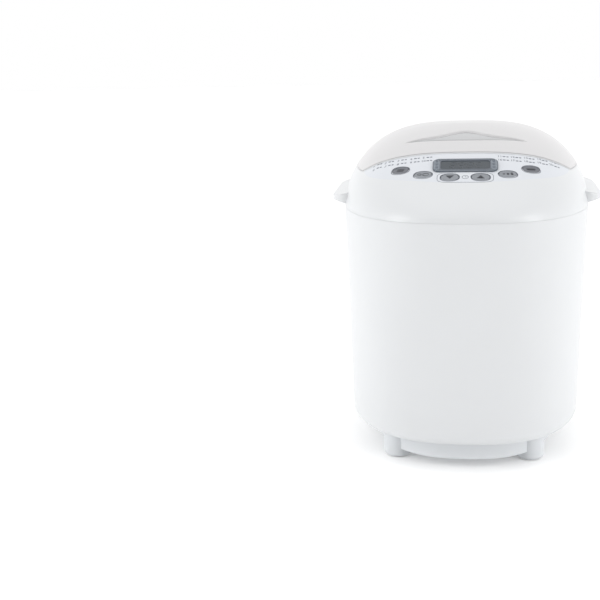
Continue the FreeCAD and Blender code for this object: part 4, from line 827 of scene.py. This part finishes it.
sign("sign_start", "button_start_stop", [bar(start_x, start_y, 9.4, 3.0, start_turn)])

capsule = oval_outline(up_x - down_x + KEY_LENGTH + 6.4, KEY_HEIGHT * KEY_SLOPE + 5.0, 120, 4.0)
clock = oval_outline(5.2, 4.4, 40)
film("key_capsule", [ribbon(capsule, 0.4, 0, time_y)], print_blue)
hands = [bar(0, time_y + 0.7, 1.6, 0.4, 90), bar(0.6, time_y, 1.5, 0.4)]
film("clock_sign", [ribbon(clock, 0.45, 0, time_y), *hands], print_blue)
print("signs printed")

# %% [markdown]
# ## Programme list
# Left and right of the display two rows of programme numbers run along the console's rear edge. Each
# entry is a number with two short strokes beside it in place of a word. A number starts as a text
# curve, is made a mesh at once, and is then bent onto the dome like every other mark.

# %% Programme list
ROW_END = -70.0
ROW_RISE = 10.0
ROW_STEP = 6.6
ROW_BEND_START = 35.0
ROW_BEND_REACH = 50.0
DIGIT_SIZE = 4.4
DIGIT_OFFSET = -3.6
STROKE_HEIGHT = 1.5


def row_line(x):
    """Plan y of the first row: level near the display, rising with the square toward the tip."""
    return ROW_END + ROW_RISE * (np.maximum(np.abs(x) - ROW_BEND_START, 0) / ROW_BEND_REACH) ** 2


def number_points(text, size):
    """Plan points and faces of a number, from a text curve."""
    curve = bpy.data.curves.new("digits", "FONT")
    curve.body = text
    curve.size = size
    curve.align_x = "CENTER"
    curve.align_y = "CENTER"
    curve.resolution_u = 3
    helper = bpy.data.objects.new("digits", curve)
    bpy.context.scene.collection.objects.link(helper)
    mesh = bpy.data.meshes.new_from_object(helper)
    points = np.empty(len(mesh.vertices) * 3)
    mesh.vertices.foreach_get("co", points)
    faces = [tuple(polygon.vertices) for polygon in mesh.polygons]
    bpy.data.objects.remove(helper)
    bpy.data.curves.remove(curve)
    bpy.data.meshes.remove(mesh)
    return points.reshape(-1, 3)[:, :2], faces


columns = [-84.5, -73.0, -60.5, -48.0, -36.0]
halves = (columns, [-x for x in reversed(columns)])
entries = [(x, row) for half in halves for row in (0, 1) for x in half]
plan_points, plan_faces, strokes, start = [], [], [], 0
for number, (x, row) in enumerate(entries, 1):
    y = row_line(x) - ROW_STEP * row
    lean = math.degrees(math.atan2(row_line(x + 1) - row_line(x - 1), 2.0))
    local, faces = number_points(str(number), DIGIT_SIZE)
    across, along = turned(local[:, 0], local[:, 1], x + DIGIT_OFFSET, y, lean)
    plan_points.append(np.stack([across, along], axis=-1))
    plan_faces += [tuple(index + start for index in face) for face in faces]
    start += len(local)
    for offset, length in ((0.5, 2.8), (3.7, 2.2)):
        strokes.append(bar(*turned(offset, 0, x, y, lean), length, STROKE_HEIGHT, lean))
plan = np.concatenate(plan_points)
numbers = mesh_from("programme_numbers", on_dome(plan[:, 0], plan[:, 1], PRINT_LIFT), plan_faces)
finish_film("programme_numbers", numbers, print_blue, "casing")
film("programme_strokes", strokes, print_blue)
print(len(entries), "programme entries")

# %% [markdown]
# ## Display
# The display's frame is flat, so its details are drawn in the console's own plane: across, up the
# slope, and lifted off it. Left and right of the glass the frame has a paler field with little generic
# signs. The glass itself shows the faint ghosts of its unlit digits.

# %% Display details
PANEL_MIDDLE_Y = -90.0
PANEL_MIDDLE_Z = float(dome_height(0.0, PANEL_MIDDLE_Y))
BEZEL_UP = 2.0
BEZEL_TOP = 0.6
GLASS_TOP = 0.2


def on_panel(points, lift):
    """Local points of the console's plane carried into space: across, up the slope, along its normal."""
    across, up = points[..., 0], points[..., 1] + BEZEL_UP
    y = PANEL_MIDDLE_Y + up * math.cos(CONSOLE_SLOPE) - lift * math.sin(CONSOLE_SLOPE)
    z = PANEL_MIDDLE_Z + up * math.sin(CONSOLE_SLOPE) + lift * math.cos(CONSOLE_SLOPE)
    return np.stack([across, y, z], axis=-1)


def panel_print(name, grids, lift, material):
    """A printed film on the flat of the display, from local grids."""
    local, faces = joined(grids)
    finish_film(name, mesh_from(name, on_panel(local, lift), faces), material, "casing")


def field(x, y, length, height, power=5.0):
    """A filled rounded rectangle: rings of a superellipse from nothing to full size."""
    outline = oval_outline(length, height, 48, power)
    share = np.linspace(0, 1, 5)[None, :, None]
    return outline[:, None, :] * share + np.array([x, y]), True


FIELD_X = 26.6
MARK_PITCH = 5.8
fields = [field(side * FIELD_X, 0.0, 5.2, 18.0) for side in (-1, 1)]
panel_print("bezel_fields", fields, BEZEL_TOP + 0.08, field_grey)
marks = []
for side in (-1, 1):
    for step in (-1, 0, 1):
        marks.append(bar(side * FIELD_X, step * MARK_PITCH, 2.8, 0.8))
        marks.append(ribbon(oval_outline(2.2, 1.5, 24), 0.35, side * FIELD_X, step * MARK_PITCH + 2.0))
panel_print("bezel_marks", marks, BEZEL_TOP + 0.22, print_blue)
panel_print("bezel_line", [ribbon(oval_outline(58.6, 21.8, 96, 7.0), 0.45)], BEZEL_TOP + 0.08, field_grey)
panel_print("glass_line", [ribbon(oval_outline(46.6, 16.6, 96, 12.0), 0.5)], BEZEL_TOP + 0.1, print_blue)
print("frame of the display printed")

# %% [markdown]
# Seven strokes make a digit. The ghosts are all seven at once, leaning a little, as every such
# display has them, with a colon between hours and minutes.

# %% Ghost digits
DIGIT_WIDTH = 5.2
DIGIT_HEIGHT = 9.6
STROKE = 0.9
LEAN = 0.12


def digit_ghost(x):
    """Seven rounded strokes: three level ones and four upright ones, sheared by the lean."""
    half_w, half_h = DIGIT_WIDTH / 2, DIGIT_HEIGHT / 2
    strokes = [bar(x, level, DIGIT_WIDTH - 1.4, STROKE) for level in (-half_h, 0.0, half_h)]
    strokes += [bar(x + side * half_w, level, half_h - 1.0, STROKE, 90)
                for side in (-1, 1) for level in (-half_h / 2, half_h / 2)]
    for grid, _ in strokes:
        grid[..., 0] += grid[..., 1] * LEAN
    return strokes


ghosts = [stroke for x in (-11.4, -3.6, 4.8, 12.6) for stroke in digit_ghost(x)]
ghosts += [bar(0.6, level, 1.0, 1.0) for level in (-2.2, 2.2)]
ghost_print = moulded("ghost_print", (0.047, 0.056, 0.066), 0.12, 0.18, 900, 0.02, 0.95)
panel_print("ghost_digits", ghosts, GLASS_TOP + 0.1, ghost_print)
print("display", round(PANEL_MIDDLE_Z, 2), "mm high at its middle")

# %% [markdown]
# ## Fine beads
# A moulding's edge is never a bare line. The console ends at the lid with a thin bright bead, and the
# seam between body and housing has a lighter line in its depth. Each bead is a small circle carried
# along its path. Its side direction is made from the path's direction and the upright, which is safe,
# as no path ever runs upright.

# %% Beads
BEAD_HALF = 99.0
BEAD_INSET = 1.9
BEAD_RADIUS = 0.55
TIP_RADIUS = 0.05
SEAM_INSET = 0.75
SEAM_DROP = 0.15


def bead(name, path, radius, body, material, closed=False, squeeze=1.0, sides=10):
    """A tube: at each path point a circle spans the side direction and the one across both."""
    if closed:
        along = np.roll(path, -1, axis=0) - np.roll(path, 1, axis=0)
    else:
        along = np.gradient(path, axis=0)
    along /= np.linalg.norm(along, axis=1, keepdims=True)
    side = np.cross(along, [0, 0, 1.0])
    side /= np.linalg.norm(side, axis=1, keepdims=True)
    top = np.cross(side, along)
    radius = np.broadcast_to(radius, len(path))[:, None, None]
    angle = ring_angles(sides)[None, :, None]
    ring = np.cos(angle) * side[:, None, :] + squeeze * np.sin(angle) * top[:, None, :]
    points = path[:, None, :] + radius * ring
    if not closed:
        ends = [path[:1, None, :].repeat(sides, 1), points, path[-1:, None, :].repeat(sides, 1)]
        points = np.concatenate(ends)
    clothe(surface(name, points, body, around=closed, along=True), material)


def tapered(share, radius):
    """Full radius along the bead, falling away with the eighth power to its fine tips."""
    return radius * (1 - share ** 8) + TIP_RADIUS


share = np.linspace(-1, 1, 161)
x = BEAD_HALF * np.sin(share * math.pi / 2)
path = on_dome(x, lens_rear(x) - BEAD_INSET, 0.1)
bead("console_bead", path, tapered(share, BEAD_RADIUS), "casing", casing_white)
seam_x, seam_y = superellipse(ring_angles(), HALF_WIDTH - SEAM_INSET, -HALF_DEPTH + SEAM_INSET,
                              HALF_DEPTH - SEAM_INSET)
seam_path = np.stack([seam_x, seam_y, np.full(RING, SEAM - SEAM_DROP)], axis=-1)
bead("seam_filler", seam_path, 0.5, "casing", casing_white, closed=True)
print("beads laid")

# %% [markdown]
# ## Window
# The window is a sheet sunk into the lid: deep along its front bow, and rising nearly to the lid's height
# at its rear, where a hump swells from a narrow band. A dark grey bead along its front edge is painted
# shade for the shadow in the gap behind the lip, and a raised lip runs all the way round.

# %% Window
WINDOW_POINTS = 90
WINDOW_HALF = 58.0
WINDOW_FRONT = -35.0
WINDOW_BOW = 4.0
WINDOW_BAND = 8.5
WINDOW_HUMP = 13.0
HUMP_REACH = 20.0
BAND_POWER = 0.6
WINDOW_DEEP = 1.3
WINDOW_SHALLOW = 0.3
WINDOW_GLASS = 1.6
PANE_OVERLAP = 0.15
GAP_SHADE_RADIUS = 0.62
LIP_RADIUS = 0.75


def window_edges(share, grow=0.0):
    """Plan x, bowed front y and depth behind it: a narrow band, plus a hump that dies away sideways."""
    x = (WINDOW_HALF + grow) * share
    part = 1 - share ** 2
    front = WINDOW_FRONT + WINDOW_BOW * share ** 2
    band = (WINDOW_BAND + grow) * part ** BAND_POWER
    return x, front, band + WINDOW_HUMP * np.exp(-(x / HUMP_REACH) ** 2) * part, part


def window_outline(grow, count=WINDOW_POINTS):
    """Closed plan outline of the window, grown on every side: along the front, and back along the rear."""
    x, front, swell, part = window_edges(np.sin(np.linspace(-1, 1, count) * math.pi / 2), grow)
    there = np.stack([x, front - grow * part], axis=-1)
    back = np.stack([x, front + swell], axis=-1)[::-1]
    return np.concatenate([there, back[1:-1]])


def window_pane():
    """Plan grid from the front bow to the rear hump; it lies deep in front and rises to the rear."""
    x, front, swell, _ = window_edges(np.sin(np.linspace(-1, 1, 97) * math.pi / 2)[:, None])
    share = np.linspace(0, 1, 15)[None, :]
    y = front + share * (swell + 2 * PANE_OVERLAP) - PANE_OVERLAP
    points = on_dome(x + 0 * share, y, 0.0)
    points[..., 2] += -WINDOW_DEEP + (WINDOW_DEEP - WINDOW_SHALLOW) * share ** 0.7
    return points


pane = surface("window_pane", window_pane(), "lid")
face_up(pane)
thicken(pane, WINDOW_GLASS)
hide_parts("lid_window")
clothe(pane, window_grey)
# The dark grey bead along the window's front edge is painted shade, standing for the shadow in the gap behind
# the lip.
front_edge = window_outline(0.1)[:WINDOW_POINTS]
gap_shade_path = on_dome(front_edge[:, 0], front_edge[:, 1], -0.2)
gap_shade_radius = tapered(np.linspace(-1, 1, WINDOW_POINTS), GAP_SHADE_RADIUS)
bead("window_gap_shade", gap_shade_path, gap_shade_radius, "lid", painted_gap_shade)
outline = window_outline(1.5)
bead("window_lip", on_dome(outline[:, 0], outline[:, 1], -0.3), LIP_RADIUS, "lid", lid_white,
     closed=True, squeeze=0.7)
print("window set")

# %% [markdown]
# ## Lid skin
# The lid's outer face is a thin separate skin here, because its gloss shows the slightest unevenness.
# It spans from the window's outline to the lid's edge: in front that edge is the console's rear bow,
# behind it is the dome's own section just above the deck. Both outlines get the same number of points,
# and straight lines between them, lifted onto the dome, fill the ring.

# %% Lid skin
SKIN_LIFT = 0.5
SKIN_WALL = 0.4
SKIN_EDGE = 0.4
SKIN_ABOVE_DECK = 0.3
SKIN_REAR_INSET = 0.05


def lid_outline(count):
    """Closed plan outline: the console's rear bow, then the dome's section at the deck, right to left."""
    x = LENS_HALF * np.sin(np.linspace(-1, 1, count) * math.pi / 2)
    front = np.stack([x, lens_rear(x) + SKIN_EDGE], axis=-1)
    half_width, low, high = [float(value) for value in dome_section(np.array(DECK + SKIN_ABOVE_DECK))]
    tip = math.atan2((LENS_TIP_Y - (low + high) / 2) / ((high - low) / 2), LENS_HALF / half_width)
    angle = np.linspace(tip, math.pi - tip, count)
    rear_x, rear_y = superellipse(angle, half_width - SKIN_REAR_INSET, low, high - SKIN_REAR_INSET)
    return np.concatenate([front, np.stack([rear_x, rear_y], axis=-1)[1:-1]])


def lid_ring(count=WINDOW_POINTS, rows=36):
    """Between window and edge: point = inner + share of the way to outer, then up to the dome."""
    inner = window_outline(1.2, count)[:, None, :]
    outer = lid_outline(count)[:, None, :]
    share = np.linspace(0, 1, rows)[None, :, None]
    plan = inner + (outer - inner) * share
    return on_dome(plan[..., 0], plan[..., 1], SKIN_LIFT)


lid_skin = surface("lid_skin", lid_ring(), "lid", around=True)
face_up(lid_skin)
thicken(lid_skin, SKIN_WALL)
clothe(lid_skin, lid_white)
print("lid skin", len(lid_skin.data.polygons), "faces")

# %% [markdown]
# ## Floor
# The machine stands on a seamless white sweep: one level sheet, very large and nearly white, with a
# trace of glow, so that its far edge melts into the tent.

# %% Floor
FLOOR_HALF = 6000.0
FLOOR_STEPS = 25
FLOOR_GLOW = 0.15

side = np.linspace(-FLOOR_HALF, FLOOR_HALF, FLOOR_STEPS)
x, y = np.meshgrid(side, side, indexing="ij")
sheet = np.stack([x, y, np.zeros_like(x)], axis=-1)
mesh = mesh_from("floor", sheet, grid_faces(FLOOR_STEPS, FLOOR_STEPS).tolist())
floor = bpy.data.objects.new("floor", mesh)
bpy.context.scene.collection.objects.link(floor)
floor_finish = moulded("floor_paper", (0.93, 0.93, 0.93), 0.55, 0.65, 120, 0.02, 0.995)
floor_shader = floor_finish.node_tree.nodes["Principled BSDF"]
floor_shader.inputs["Emission Color"].default_value = (1.0, 1.0, 1.0, 1.0)
floor_shader.inputs["Emission Strength"].default_value = FLOOR_GLOW
mesh.materials.append(floor_finish)
print("floor", 2 * FLOOR_HALF * MM, "m wide")
